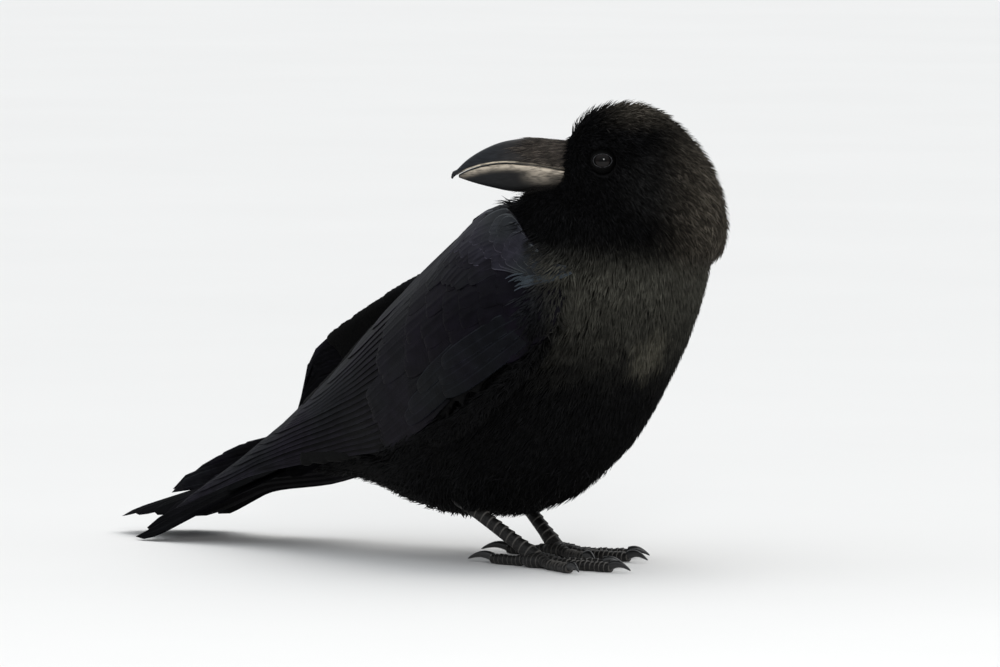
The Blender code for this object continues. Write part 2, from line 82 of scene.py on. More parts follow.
SHANK_AHEAD = 0.0235  # the right shank's front, ahead of the middle of the feet
EYE_AHEAD, EYE_RISE = 0.0174, 0.0060  # the eyes, from the middle of the head
EYE_RADIUS = 0.0072
right_shank, left_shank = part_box("tarsus_right"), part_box("tarsus_left")
FEET = Vector((right_shank[1].x - SHANK_AHEAD, (right_shank[1].y + left_shank[0].y) / 2, 0.0))
HEAD_LEFT = (middle("eye_left") - middle("eye_right")).normalized()
HEAD_AHEAD = HEAD_LEFT.cross(UP).normalized()
HEAD = (middle("eye_left") + middle("eye_right")) / 2 - HEAD_AHEAD * EYE_AHEAD - UP * EYE_RISE
HEAD_AXES = np.array([HEAD_AHEAD, HEAD_LEFT, UP])


def on_bird(x, y, z):
    return FEET + Vector((x, y, z))


def on_head(ahead, left, up):
    return HEAD + HEAD_AHEAD * ahead + HEAD_LEFT * left + UP * up


def bird_axes(points):
    return points - np.array(FEET)


def head_axes(points):
    return (points - np.array(HEAD)) @ HEAD_AXES.T


print("between the feet:", [round(v, 4) for v in FEET], "head:", [round(v, 4) for v in HEAD])

# %% [markdown]
# ## Camera
# A portrait of a bird is taken from far away with a long lens, at the bird's own height, so that nothing is
# stretched. The camera stands five metres off, a little above the back, at the bird's right front quarter.

# %% Set the camera
VIEW_TURN, VIEW_DOWN, VIEW_DISTANCE = math.radians(38), math.radians(4), 5.0
LENS, SENSOR = 360, 36
AIM_LEFT, AIM_ABOVE = 0.0235, 0.11425  # the middle of the view, from the feet
view_right = Vector((math.cos(VIEW_TURN), math.sin(VIEW_TURN), 0))
view_level = Vector((-math.sin(VIEW_TURN), math.cos(VIEW_TURN), 0))
view_ahead = view_level * math.cos(VIEW_DOWN) - UP * math.sin(VIEW_DOWN)
view_up = view_right.cross(view_ahead)
camera = bpy.data.objects.new("camera", bpy.data.cameras.new("camera"))
camera.data.lens, camera.data.sensor_width = LENS, SENSOR
camera.data.clip_end = 200
place = FEET - view_right * AIM_LEFT + view_up * AIM_ABOVE - view_ahead * VIEW_DISTANCE
axes = (view_right, view_up, -view_ahead, place)
camera.matrix_world = Matrix([[axis[row] for axis in axes] for row in range(3)] + [(0, 0, 0, 1)])
bpy.context.scene.collection.objects.link(camera)
bpy.context.scene.camera = camera
print("camera at", [round(v, 3) for v in place])

# %% [markdown]
# ## Materials from numbers
# Every finish starts as the same Principled shader, with even values. What varies over the surface, such as
# colour, comes from attributes that the pieces carry or from noise on their coordinates. A few short
# helpers keep the node trees readable.

# %% Helpers for node trees
class Finish:
    """A material with one Principled shader, and short ways to add nodes to it."""

    def __init__(self, name, roughness, specular):
        self.material = bpy.data.materials.new(name)
        self.material.use_nodes = True
        self.tree = self.material.node_tree
        self.shader = self.tree.nodes["Principled BSDF"]
        self.drive("Roughness", roughness)
        self.drive("Specular IOR Level", specular)

    def node(self, kind, **settings):
        found = self.tree.nodes.new(kind)
        for key, value in settings.items():
            setattr(found, key, value)
        return found

    def feed(self, socket, source):
        """Puts a value, or another node's output, in a socket."""
        if isinstance(source, bpy.types.NodeSocket):
            self.tree.links.new(source, socket)
        else:
            socket.default_value = source

    def drive(self, socket, source):
        """Sets one of the shader's own sockets."""
        self.feed(self.shader.inputs[socket], source)

    def attribute(self, name, output="Fac"):
        return self.node("ShaderNodeAttribute", attribute_name=name).outputs[output]

    def maths(self, operation, *sources):
        found = self.node("ShaderNodeMath", operation=operation)
        for socket, source in zip(found.inputs, sources):
            self.feed(socket, source)
        return found.outputs[0]

    def product(self, first, *others):
        for other in others:
            first = self.maths("MULTIPLY", first, other)
        return first

    def span(self, value, low, high, to_low=0.0, to_high=1.0):
        """Maps a value smoothly from one span to another."""
        found = self.node("ShaderNodeMapRange", interpolation_type="SMOOTHSTEP")
        names = ("Value", "From Min", "From Max", "To Min", "To Max")
        for name, source in zip(names, (value, low, high, to_low, to_high)):
            self.feed(found.inputs[name], source)
        return found.outputs[0]

    def mix(self, share, a, b, blend="MIX"):
        """Mixes two colours, each given as three numbers or as a node's output."""
        found = self.node("ShaderNodeMix", data_type="RGBA", blend_type=blend)
        self.feed(found.inputs["Factor"], share)
        for letter, source in (("A", a), ("B", b)):
            socket = [s for s in found.inputs if s.name == letter and s.type == "RGBA"][0]
            self.feed(socket, (*source, 1) if isinstance(source, tuple) else source)
        return [s for s in found.outputs if s.type == "RGBA"][0]

    def grey(self, level):
        """A colour of one level, to multiply another colour by."""
        found = self.node("ShaderNodeCombineColor")
        for socket in found.inputs:
            self.feed(socket, level)
        return found.outputs[0]

    def noise(self, scale, detail=3.0, stretch=(1, 1, 1)):
        """Noise on the piece's own coordinates, in features per metre."""
        place = self.node("ShaderNodeMapping")
        self.feed(place.inputs["Scale"], stretch)
        self.feed(place.inputs["Vector"], self.node("ShaderNodeTexCoord").outputs["Object"])
        found = self.node("ShaderNodeTexNoise")
        for name, source in (("Scale", scale), ("Detail", detail), ("Vector", place.outputs[0])):
            self.feed(found.inputs[name], source)
        return found.outputs["Fac"]

    def bump(self, height, strength, distance):
        found = self.node("ShaderNodeBump")
        for name, source in (("Strength", strength), ("Distance", distance), ("Height", height)):
            self.feed(found.inputs[name], source)
        self.drive("Normal", found.outputs[0])

    def tones(self, scale, detail, dark, light, low=None, high=None):
        """A colour that wanders between two tones; low and high sharpen the change between them."""
        noise = self.noise(scale, detail)
        return self.mix(noise if low is None else self.span(noise, low, high), dark, light)

    def colour(self, source, level=None):
        """The base colour, and where a level is given that colour times the level."""
        if level is not None:
            source = self.mix(1.0, source, self.grey(level), "MULTIPLY")
        self.drive("Base Color", source)


def add_object(name, data):
    found = bpy.data.objects.new(name, data)
    bpy.context.scene.collection.objects.link(found)
    return found


def add_piece(name, mesh, finish):
    """Makes an object of a mesh, with its material, riding on the one body."""
    mesh.materials.clear()
    mesh.materials.append(finish.material)
    mesh.shade_smooth()
    piece = add_object(name, mesh)
    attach(piece, "root")
    return piece


def mesh_from(shape, name):
    """Turns a bmesh into a mesh and frees it."""
    mesh = bpy.data.meshes.new(name)
    shape.to_mesh(mesh)
    shape.free()
    return mesh


# %% [markdown]
# ## Floor
# The bird stands on a plain pale floor, which runs on past what the camera sees. A real one would be a
# sweep of matt paper. Here it is one flat grid with two nearly equal tones.

# %% Make the floor
floor_finish = Finish("studio_floor", 0.85, 0.2)
floor_finish.colour(floor_finish.tones(3.0, 3.0, (0.80, 0.79, 0.775), (0.84, 0.83, 0.815)))
floor_shape = bmesh.new()
bmesh.ops.create_grid(floor_shape, x_segments=8, y_segments=8, size=60)
floor_mesh = mesh_from(floor_shape, "studio_floor")
floor_mesh.materials.append(floor_finish.material)
add_object("studio_floor", floor_mesh)

# %% [markdown]
# ## Light
# Black feathers show by what they mirror, so the light matters as much as the finish. The sky is overcast
# and brightest overhead. One broad soft source high over the back gives the mantle, the crown and the nape
# their sheen. A small lamp stands where the left eye mirrors it to the camera, and puts the spark in that
# eye.

# %% Light the stage
SKY_COLOUR = (0.92, 0.96, 1.0, 1)
sky = bpy.data.worlds.new("studio_sky")
sky.use_nodes = True
sky_nodes, sky_links = sky.node_tree.nodes, sky.node_tree.links
bearing = sky_nodes.new("ShaderNodeSeparateXYZ")
sky_links.new(sky_nodes.new("ShaderNodeTexCoord").outputs["Generated"], bearing.inputs[0])
rise = sky_nodes.new("ShaderNodeMapRange")
rise.interpolation_type = "SMOOTHSTEP"
for name, value in (("From Min", 0.0), ("From Max", 0.8), ("To Min", 0.30), ("To Max", 0.88)):
    rise.inputs[name].default_value = value
sky_links.new(bearing.outputs["Z"], rise.inputs["Value"])
sky_links.new(rise.outputs[0], sky_nodes["Background"].inputs["Strength"])
sky_nodes["Background"].inputs["Color"].default_value = SKY_COLOUR
bpy.context.scene.world = sky
bpy.context.scene.view_settings.view_transform = "Standard"


def add_lamp(kind, name, across, towards, above, power, tint, **settings):
    """A lamp aimed at the bird, placed along the camera's right, towards the camera, and up."""
    data = bpy.data.lights.new(name, kind)
    data.energy, data.color = power, tint
    for setting, value in settings.items():
        setattr(data, setting, value)
    lamp = add_object(name, data)
    aim = on_bird(0, 0, 0.11)
    lamp.location = aim + view_right * across - view_level * towards + UP * above
    lamp.rotation_euler = (aim - lamp.location).to_track_quat("-Z", "Y").to_euler()
    print(f"{name}: {power} W")


CATCH_DISTANCE, CATCH_POWER, CATCH_SIZE = 2, 8.0, 0.36
add_lamp(
    "SUN", "bright_cloud", across=0.55, towards=-0.55, above=1.5, power=1.3, tint=(1.0, 0.985, 0.96),
    angle=math.radians(60),
)
# the spot of the left eye that shall shine faces this way, and mirrors what lies in the direction of spark
mirror = (HEAD_LEFT + HEAD_AHEAD * 0.05 + UP * 0.22 + view_right * 0.10).normalized()
spark = mirror * 2 * mirror.dot(-view_ahead) + view_ahead
across, towards = spark.dot(view_right) * CATCH_DISTANCE, -spark.dot(view_level) * CATCH_DISTANCE
above = spark.z * CATCH_DISTANCE
add_lamp("AREA", "catch_lamp", across, towards, above, CATCH_POWER, (1.0, 1.0, 1.0), size=CATCH_SIZE)

# %% [markdown]
# ## The skin
# Under the feathers a bird is a smooth body. The frame holds its outer form in several solids that meet at
# thin cuts. Joining them by booleans would leave creases, so they are swollen by a hair until the cuts
# close, and fused by a voxel remesh.

# %% Fuse the solids of flesh
FLESH = ("head", "neck", "trunk", "rump", "thigh_left", "thigh_right")
WING_FLESH = tuple(f"wing_{side}_{part}" for side in ("left", "right") for part in ("coverts", "secondaries"))
SWELL = 0.0005
FIRST_VOXEL, SECOND_VOXEL = 0.0017, 0.0016
SMOOTHINGS_BEFORE, SMOOTHINGS_AFTER = 6, 5


def tree_of(*names):
    """A search tree over the surface of CAD nodes."""
    whole = bmesh.new()
    for name in names:
        whole.from_mesh(nodes[name].data)
    found = BVHTree.FromBMesh(whole)
    whole.free()
    return found


def evened(mesh, voxel, relax):
    """The mesh fused and evened by a voxel remesh, then relaxed."""
    piece = add_object("evened", mesh)
    remesh = piece.modifiers.new("fuse", "REMESH")
    remesh.mode, remesh.voxel_size = "VOXEL", voxel
    smooth = piece.modifiers.new("relax", "SMOOTH")
    smooth.iterations, smooth.factor = relax, 0.5
    bpy.context.view_layer.update()
    made = bpy.data.meshes.new_from_object(piece.evaluated_get(bpy.context.evaluated_depsgraph_get()))
    bpy.data.objects.remove(piece)
    return made


def read(items, key, width=3, kind=np.float32):
    """One value of all items as an array with a row for each."""
    found = np.empty(len(items) * width, kind)
    items.foreach_get(key, found)
    return found.reshape(-1, width)


def coords(mesh):
    return read(mesh.vertices, "co").astype(float)


def vertex_normals(mesh):
    return read(mesh.vertex_normals, "vector").astype(float)


def set_coords(mesh, points):
    mesh.vertices.foreach_set("co", np.ascontiguousarray(points, np.float32).ravel())
    mesh.update()


together = bmesh.new()
for name in FLESH + WING_FLESH:
    shape = bmesh.new()
    shape.from_mesh(nodes[name].data)
    bmesh.ops.remove_doubles(shape, verts=shape.verts, dist=1e-6)
    bmesh.ops.recalc_face_normals(shape, faces=shape.faces)
    for vert in shape.verts:
        vert.co += vert.normal * SWELL
    together.from_mesh(mesh_from(shape, name + "_swollen"))
skin_mesh = evened(mesh_from(together, "fused"), FIRST_VOXEL, SMOOTHINGS_BEFORE)
print("fused form:", len(skin_mesh.vertices), "points")

# %% [markdown]
# The frame gives the outline of the coat, so the skin is drawn in from it by the depth of the coat at each
# place: deep on the breast and the belly, thin on the face, and almost nothing round the eyes and the bill.

# %% Draw the skin in by the depth of the coat
def ease(value, low, high):
    """0 below low, 1 above high, and smooth between; low may be above high."""
    share = np.clip((value - low) / (high - low), 0, 1)
    return share * share * (3 - 2 * share)


def moved(value, goal, share):
    """The value moved a share of the way to a goal."""
    return value + (goal - value) * share


def distances(tree, points):
    return np.array([tree.find_nearest(point)[3] for point in points.tolist()])


def in_head(head, low, high, far, near):
    """1 above a height and near the middle of the head. It fades from high to low and from near to far."""
    return ease(head[:, 2], low, high) * ease(np.linalg.norm(head, axis=1), far, near)


wing_tree = tree_of(*WING_FLESH)
bill_tree = tree_of("bill_upper", "bill_lower")
eye_tree = tree_of("eye_left", "eye_right")
BODY_COAT, HEAD_COAT, SHANK_COAT, RUMP_COAT, WING_COAT, BILL_COAT, EYE_COAT = (
    0.0036, 0.0026, 0.0015, 0.0020, 0.0026, 0.0008, 0.0006,
)


def coat_depth(points):
    """How far the skin lies under the tips of the feathers, in metres."""
    head, bird = head_axes(points), bird_axes(points)
    depth = np.full(len(head), BODY_COAT)
    for coat, share in (
        (HEAD_COAT, in_head(head, -0.040, -0.024, 0.062, 0.050)),
        (SHANK_COAT, ease(bird[:, 2], 0.046, 0.030)),
        (RUMP_COAT, ease(bird[:, 0], -0.085, -0.120)),
        (WING_COAT, ease(distances(wing_tree, points), 0.004, 0.001)),
        (BILL_COAT, ease(distances(bill_tree, points), 0.006, 0.001)),
        (EYE_COAT, ease(distances(eye_tree, points), 0.0060, 0.0020)),
    ):
        depth = moved(depth, coat, share)
    return depth


DRAWS = 3  # in several small moves, so that no fold turns over
depths = coat_depth(coords(skin_mesh))
for draw in range(DRAWS):
    set_coords(skin_mesh, coords(skin_mesh) - vertex_normals(skin_mesh) * (depths + SWELL)[:, None] / DRAWS)
skin_mesh = evened(skin_mesh, SECOND_VOXEL, SMOOTHINGS_AFTER)
print(f"skin: {len(skin_mesh.vertices)} points, coat {depths.min() / MM:.1f} to {depths.max() / MM:.1f} mm")

# %% [markdown]
# The feathers need to know where on the skin they grow, so the skin is unwrapped once. Each small feather
# later takes a tiny patch of the map, at its own root, so that on the map its colour lies where the skin's
# does. The skin itself only shows as the dark down between the feathers.

# %% Unwrap the skin
skin_finish = Finish("down_and_skin", 0.8, 0.1)
skin_finish.colour(skin_finish.attribute("tint", "Color"))
skin_finish.bump(skin_finish.noise(900, 4), 0.6, 0.0006)
skin = add_piece("skin", skin_mesh, skin_finish)
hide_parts(*FLESH)


class Surface:
    """A finished mesh as arrays: something that feathers can be scattered on and walk along."""

    def __init__(self, piece):
        bpy.ops.object.select_all(action="DESELECT")
        piece.select_set(True)
        bpy.context.view_layer.objects.active = piece
        mesh = piece.data
        mesh.uv_layers.new(name="OFBake")
        bpy.ops.object.mode_set(mode="EDIT")
        bpy.ops.mesh.select_all(action="SELECT")
        bpy.ops.uv.smart_project(angle_limit=1.15, island_margin=0.004, scale_to_bounds=True)
        bpy.ops.object.mode_set(mode="OBJECT")
        mesh.calc_loop_triangles()
        self.points, self.normals = coords(mesh), vertex_normals(mesh)
        self.faces = read(mesh.loop_triangles, "vertices", kind=np.int32)
        loops = read(mesh.loop_triangles, "loops", kind=np.int32)
        self.uv = read(mesh.uv_layers["OFBake"].data, "uv", 2)[loops]
        corner = self.points[self.faces]
        across = np.cross(corner[:, 1] - corner[:, 0], corner[:, 2] - corner[:, 0])
        self.area = np.linalg.norm(across, axis=1) / 2
        self.tree = BVHTree.FromPolygons(self.points.tolist(), self.faces.tolist())
        print(piece.name, "unwrapped:", round(self.area.sum() * MM2_PER_M2), "mm2")

    def nearest(self, points):
        """The nearest points of the surface, the normals there, and the numbers of the faces."""
        found = [self.tree.find_nearest(point) for point in points.tolist()]
        return tuple(np.array([hit[k] for hit in found]) for k in range(3))


skin_map = Surface(skin)

# %% [markdown]
# ## The lie of the feathers
# On the head, feathers run back from the bill, over the crown and down the nape, and down the throat. On
# the body they run from the breast down and back under the belly, and from the mantle back to the rump. A
# function gives that direction anywhere on the skin, so that a feather can walk along it.

# %% Which way feathers point
BODY_PITCH = ((-0.144, -0.076, -0.014, 0.036, 0.055), (16, 36, 45, 52, 72))  # place along the bird, degrees


def unit(vectors):
    return vectors / np.maximum(np.linalg.norm(vectors, axis=-1, keepdims=True), 1e-9)


def along_surface(way, normals):
    return unit(way - normals * np.sum(way * normals, axis=1, keepdims=True))


def lie(points, normals):
    """The direction in which feathers point, along the skin."""
    head, bird = head_axes(points), bird_axes(points)
    from_bill = unit(points - np.array(on_head(0.036, 0, 0.004))) + 0.55 * DOWN
    pitch = np.radians(np.interp(bird[:, 0], *BODY_PITCH))
    to_tail = -np.stack([np.cos(pitch), 0 * pitch, np.sin(pitch)], axis=1)
    way = moved(to_tail, from_bill, in_head(head, -0.048, -0.022, 0.075, 0.055)[:, None])
    leg = ease(bird[:, 2], 0.052, 0.034) * ease(bird[:, 0], -0.062, -0.050)
    return along_surface(moved(way, np.array((-0.25, 0, -1.0)), leg[:, None]), normals)


def walk(roots, normals, lengths, steps, stray, surface=skin_map, lie_of=lie):
    """Walks each feather's middle line along a surface; stray turns each a little, in radians."""
    turn = chance.normal(0, stray, len(roots))
    spine, up = [roots], [normals]
    for step in range(steps):
        way = lie_of(spine[-1], up[-1])
        side = np.cross(up[-1], way)
        way = way * np.cos(turn)[:, None] + side * np.sin(turn)[:, None]
        point, normal, _ = surface.nearest(spine[-1] + way * (lengths / steps)[:, None])
        spine.append(point)
        up.append(unit(up[-1] * 0.4 + normal * 0.6))
    return np.array(spine), np.array(up)


def raised(spine, up, rise, power=0.9):
    """Lifts spines off the surface, more and more towards their tips."""
    steps = len(spine) - 1
    for step in range(1, steps + 1):
        spine[step] += up[step] * (rise * (step / steps) ** power)[:, None]
    return spine


# %% [markdown]
# ## Scattering roots
# Roots are scattered evenly by area, and a rule says how likely a feather is at each place. A region never
# ends in a line, because near its edge the likelihood only fades out. Broad feathers mustn't start at the
# same place, so their roots are thinned out by a spacing.

# %% Scatter roots on the skin
def scatter(surface, per_mm2, likelihood):
    """Random roots on a surface: their points, normals and places on the unwrap."""
    count = int(surface.area.sum() * MM2_PER_M2 * per_mm2)
    pick = chance.choice(len(surface.area), count, p=surface.area / surface.area.sum())
    share = chance.random((count, 2))
    share = np.where(share.sum(axis=1, keepdims=True) > 1, 1 - share, share)
    weight = np.column_stack([1 - share.sum(axis=1), share])[:, :, None]
    points = (surface.points[surface.faces[pick]] * weight).sum(axis=1)
    normals = unit((surface.normals[surface.faces[pick]] * weight).sum(axis=1))
    uvs = (surface.uv[pick] * weight).sum(axis=1)
    kept = chance.random(count) < likelihood(points, normals)
    return points[kept], normals[kept], uvs[kept]


def thinned(roots, spacing):
    """Roots chosen one by one so that none lies nearer to another than the spacing."""
    cells, kept = {}, []
    around = [(dx, dy, dz) for dx in (-1, 0, 1) for dy in (-1, 0, 1) for dz in (-1, 0, 1)]
    for i, (x, y, z) in enumerate((roots[0] / spacing).tolist()):
        home = (math.floor(x), math.floor(y), math.floor(z))
        near = [other for step in around for other in cells.get(tuple(h + d for h, d in zip(home, step)), ())]
        if all((x - a) ** 2 + (y - b) ** 2 + (z - c) ** 2 > 1 for a, b, c in near):
            cells.setdefault(home, []).append((x, y, z))
            kept.append(i)
    return tuple(values[kept] for values in roots)


# %% [markdown]
# ## Markings, with painted light and shade
# The bird is black all over, but not evenly, and much of the unevenness is painted light and shade. The face
# and the belly keep the plainest black, partly their own dull black and partly painted shade. The crown and
# the nape are brownish with a painted sheen. The breast has an olive-grey tone lightened by painted light,
# with a painted pool of light at its middle, and the back has a painted bluish sheen of the sky. Skin and
# feathers read the same markings, so nothing shows between feathers that doesn't belong there.

# %% The markings of the plumage, with painted light and shade
# besides the black and the ear patch these colours carry painted light: the breast is lightened by it, the
# smudge is a painted pool of light, the brown holds a painted sheen, and the bluish is a painted sheen of the
# sky
BLACK = (0.0044, 0.0044, 0.0047)
EARS = (0.0110, 0.0110, 0.0110)
BREAST_WITH_LIGHT = (0.0560, 0.0545, 0.0450)
LIGHT_POOL = (0.0740, 0.0700, 0.0550)
BROWN_AND_SHEEN = (0.0640, 0.0560, 0.0450)
BLUISH_SHEEN = (0.0180, 0.0195, 0.0240)
# where the painted pool of light on the breast is brightest
LIGHT_POOL_PLACE = (0.077, -0.008, 0.112)  # on the bird
EAR_PLACE = (-0.004, 0.034, -0.004)  # on the head, and the same on its other side
MOTTLING = 0.16


def mottle(points):
    """Soft patches a centimetre or two wide, from about -1 to 1."""
    x, y, z = (bird_axes(points) / MM).T
    broad = np.sin(x * 0.31 + 2.1 * np.sin(z * 0.17)) * np.sin(z * 0.23 + y * 0.19)
    return 0.5 * broad + 0.5 * np.sin(y * 0.37 - z * 0.41 + 1.3)


def tint(points):
    """The colour of the plumage at each point, with painted light, sheen and shade worked into it."""
    bird, head = bird_axes(points), head_axes(points)
    head_part = in_head(head, -0.050, -0.026, 0.078, 0.060)
    # hind and crown take the brown with its painted sheen, front the breast lightened by painted light, and
    # back the painted bluish sheen of the sky
    hind = ease(head[:, 0], 0.004, -0.030) ** 1.8
    crown = ease(head[:, 2], 0.019, 0.031) * ease(head[:, 0], 0.026, 0.004)
    front = ease(bird[:, 2] + 0.006 * mottle(points), 0.090, 0.160) * ease(np.abs(bird[:, 1]), 0.061, 0.047)
    front = front * ease(bird[:, 0], 0.016, 0.046) * ease(bird[:, 0], 0.108, 0.088) * (1 - head_part)
    back = ease(bird[:, 0], 0.060, 0.030) * ease(bird[:, 2], 0.120, 0.150) * (1 - head_part)
    # the distance from the middle of the painted pool of light
    from_light_pool = np.linalg.norm(bird - np.array(LIGHT_POOL_PLACE), axis=1) + 0.004 * mottle(points * 2)
    from_ear = np.linalg.norm(np.where((0, 1, 0), np.abs(head), head) - np.array(EAR_PLACE), axis=1)
    found = np.tile(np.array(BLACK), (len(points), 1))
    for colour, share in (
        (EARS, ease(from_ear, 0.022, 0.006)), (BLUISH_SHEEN, back), (BREAST_WITH_LIGHT, front),
        (LIGHT_POOL, ease(from_light_pool, 0.018, 0.006)), (BROWN_AND_SHEEN, np.maximum(hind, crown) * head_part),
    ):
        found = moved(found, np.array(colour), share[:, None])
    return found * (1 + MOTTLING * front * mottle(points * 1.7))[:, None]


def write_attribute(mesh, name, values):
    """Stores numbers, or colours, on the mesh's points."""
    if values.ndim == 1:
        mesh.attributes.new(name, "FLOAT", "POINT").data.foreach_set("value", values.astype(np.float32))
        return
    colours = np.column_stack([values, np.ones(len(values))]).astype(np.float32)
    mesh.attributes.new(name, "FLOAT_COLOR", "POINT").data.foreach_set("color", colours.ravel())


SKIN_SHADE = 0.5  # the skin is darker than the feathers on it
write_attribute(skin_mesh, "tint", tint(skin_map.points) * SKIN_SHADE)

# %% [markdown]
# ## Feathers as solids
# A feather here is a closed strip: rings of points square to its middle line, ending in one point. With
# three points to a ring it is a hair-like tuft, with six a small vane with a ridge along its shaft. There
# are far too many to make one by one, so numpy works out a whole region at once. Each point remembers how
# far it lies along and across its feather, for the material.

# %% Build many feathers at once
HAIR = ((-1.0, 0.0), (0.0, 0.75), (1.0, 0.0))  # points of a ring, across and up, in half widths
VANE = ((-1.0, 0.0), (-0.5, 0.06), (0.0, 0.10), (0.5, 0.06), (1.0, 0.0), (0.0, -0.03))
MOST_TRIANGLES = 190000  # in one piece
PATCH = 0.003  # the side of a feather's patch on the unwrap


def mesh_of(name, points, faces, face_uvs):
    """A mesh from arrays: faces is a list of index arrays, each with one number of corners."""
    mesh = bpy.data.meshes.new(name)
    corners = np.concatenate([face.ravel() for face in faces])
    sizes = np.concatenate([np.full(len(face), face.shape[1]) for face in faces])
    mesh.vertices.add(len(points))
    mesh.vertices.foreach_set("co", points.astype(np.float32).ravel())
    mesh.loops.add(len(corners))
    mesh.loops.foreach_set("vertex_index", corners.astype(np.int32))
    mesh.polygons.add(len(sizes))
    mesh.polygons.foreach_set("loop_start", np.concatenate([[0], np.cumsum(sizes)[:-1]]).astype(np.int32))
    mesh.update(calc_edges=True)
    layer = mesh.uv_layers.new(name="OFBake")
    layer.data.foreach_set("uv", np.concatenate([uv.ravel() for uv in face_uvs]).astype(np.float32))
    return mesh


def strips(name, rings, tips, over, tints, uv_corner, uv_size, finish):
    """Closed strips through rings of points (stations x points x strips x 3), each ending in a tip.
    over is each ring point's place across the strip, and uv_corner and uv_size its patch on the unwrap."""
    stations, ring, count = rings.shape[:3]
    each = stations * ring + 1
    points = np.concatenate([rings.reshape(stations * ring, count, 3), tips[None]]).transpose(1, 0, 2)
    j = np.arange(ring)
    following = (j + 1) % ring
    low, high = (np.arange(stations - 1) * ring)[:, None], (np.arange(1, stations) * ring)[:, None]
    quads = np.stack([low + j, high + j, high + following, low + following], axis=2).reshape(-1, 4)
    last = (stations - 1) * ring
    ends = np.stack([last + j, np.full(ring, each - 1), last + following], axis=1)
    level = np.arange(stations)[:, None] / stations
    before, here, after = j / ring, (j + 0.5) / ring, (j + 1) / ring
    flat = [np.stack([x + 0 * y, y + 0 * x], axis=-1).reshape(-1, 2) for x, y in (
        (before, level[:-1]), (before, level[1:]), (after, level[1:]), (after, level[:-1]),
        (before, level[-1:]), (here, level[-1:] + 1 / stations), (after, level[-1:]),
    )]
    base = (np.arange(count) * each)[:, None, None]
    faces, uvs = [], []
    sides, tip = np.stack(flat[:4], axis=1), np.stack(flat[4:], axis=1)
    for face, patch in ((quads, sides), (ends, tip), (j[None], np.zeros((1, ring, 2)))):
        faces.append((base + face[None]).reshape(-1, face.shape[1]))
        uvs.append(uv_corner[:, None, None] + patch[None] * uv_size)
    mesh = mesh_of(name, points.reshape(-1, 3), faces, uvs)
    along = np.append(np.repeat(np.arange(stations) / stations, ring), 1.0)
    write_attribute(mesh, "along", np.tile(along, count))
    write_attribute(mesh, "across", np.tile(np.append(np.tile(over, stations), 0.0), count))
    write_attribute(mesh, "seed", np.repeat(chance.random(count), each))
    write_attribute(mesh, "tint", np.repeat(tints, each, axis=0))
    add_piece(name, mesh, finish)


def feathers(name, roots, spine, up, width, kind, finish, shade=None):
    """Closed feathers along spines. spine and up: stations x feathers x 3, tip last. width: one number or one
    a feather. kind: the ring, and the widths along the feather. Too many for one piece become several."""
    points, _, uvs = roots
    section, profile = kind
    tints = tint(points) if shade is None else shade
    along = np.interp(np.arange(len(spine) - 1) / (len(spine) - 1), *profile)
    widths = along[:, None] * (np.ones(len(points)) * width)[None] / 2
    tangent = unit(spine[1:] - spine[:-1])
    side = unit(np.cross(up[:-1], tangent))
    rise = np.cross(tangent, side)
    over, lift = (np.array(column)[None, :, None, None] for column in zip(*section))
    rings = spine[:-1, None] + (side[:, None] * over + rise[:, None] * lift) * widths[:, None, :, None]
    stations, ring, count = rings.shape[:3]
    triangles_each = 2 * ring * (stations - 1) + 2 * ring - 2
    share = max(1, MOST_TRIANGLES // triangles_each)
    for number, start in enumerate(range(0, count, share), 1):
        part = slice(start, min(start + share, count))
        strips(
            name if count <= share else f"{name}_{number}", rings[:, :, part], spine[-1, part], over.ravel(),
            tints[part], uvs[part] - PATCH / 2, PATCH, finish,
        )
    print(f"{name}: {count} feathers, {count * triangles_each} triangles")


# %% [markdown]
# ## The plush of the head and the hairy breast
# The feathers of a crow's face are short and open, more like plush than like scales. They get longer down
# the nape and the throat, and on the breast and the belly they part into fine hair-like locks. All of these
# are tufts, laid low over each other, with a dull finish that is darker at the root, a painted shade where
# the tufts lie under each other, and lighter towards the tip.

# %% Finish of the soft feathers
def soft_finish(name, roughness, specular, spread, root=0.35):
    """Dull plumage: the tint, varied from tuft to tuft, with painted shade that darkens it towards the root.
    """
    made = Finish(name, roughness, specular)
    made.colour(made.attribute("tint", "Color"), made.product(
        made.maths("MULTIPLY_ADD", made.maths("POWER", made.attribute("seed"), 2.0), 2 * spread, 1 - spread),
        # painted shade at the root, where the tufts lie under each other; towards the tip it goes lighter
        # than the tint
        made.span(made.attribute("along"), 0.0, 0.8, root, 1.35),
        made.span(made.noise(220, 2), 0.35, 0.65, 0.8, 1.2),
    ))
    return made


plush = soft_finish("head_plush", 0.62, 0.03, 0.62)
body_soft = soft_finish("body_feather", 0.60, 0.04, 0.26, root=0.6)

# %% [markdown]
# The kinds of feather share the bird between them: plush on the head, broad vanes on the back, the long
# feathers of the wing where it lies over the body, and soft feathers on the rest. Each share fades at its
# edges, so that two kinds mingle where they meet.

# %% Where each kind of feather grows
def head_share(points):
    """1 on the head and upper throat, 0 on the body."""
    return in_head(head_axes(points), -0.037, -0.029, 0.066, 0.058)


def wing_share(points):
    """1 where the folded wing lies over the body."""
    return ease(distances(wing_tree, points), 0.0054, 0.0036)


def back_share(points, normals):
    """1 on the mantle and the rump, where the feathers are broad vanes."""
    ahead = bird_axes(points)[:, 0]
    return ease(normals[:, 2], 0.35, 0.60) * ease(ahead, 0.062, 0.040) * (1 - head_share(points))


def head_likelihood(points, normals):
    """The head, but for the eyes and the bill."""
    eye, bill = distances(eye_tree, points), distances(bill_tree, points)
    return head_share(points) * (ease(eye, 0.0012, 0.0022) * ease(bill, 0.0002, 0.0012))


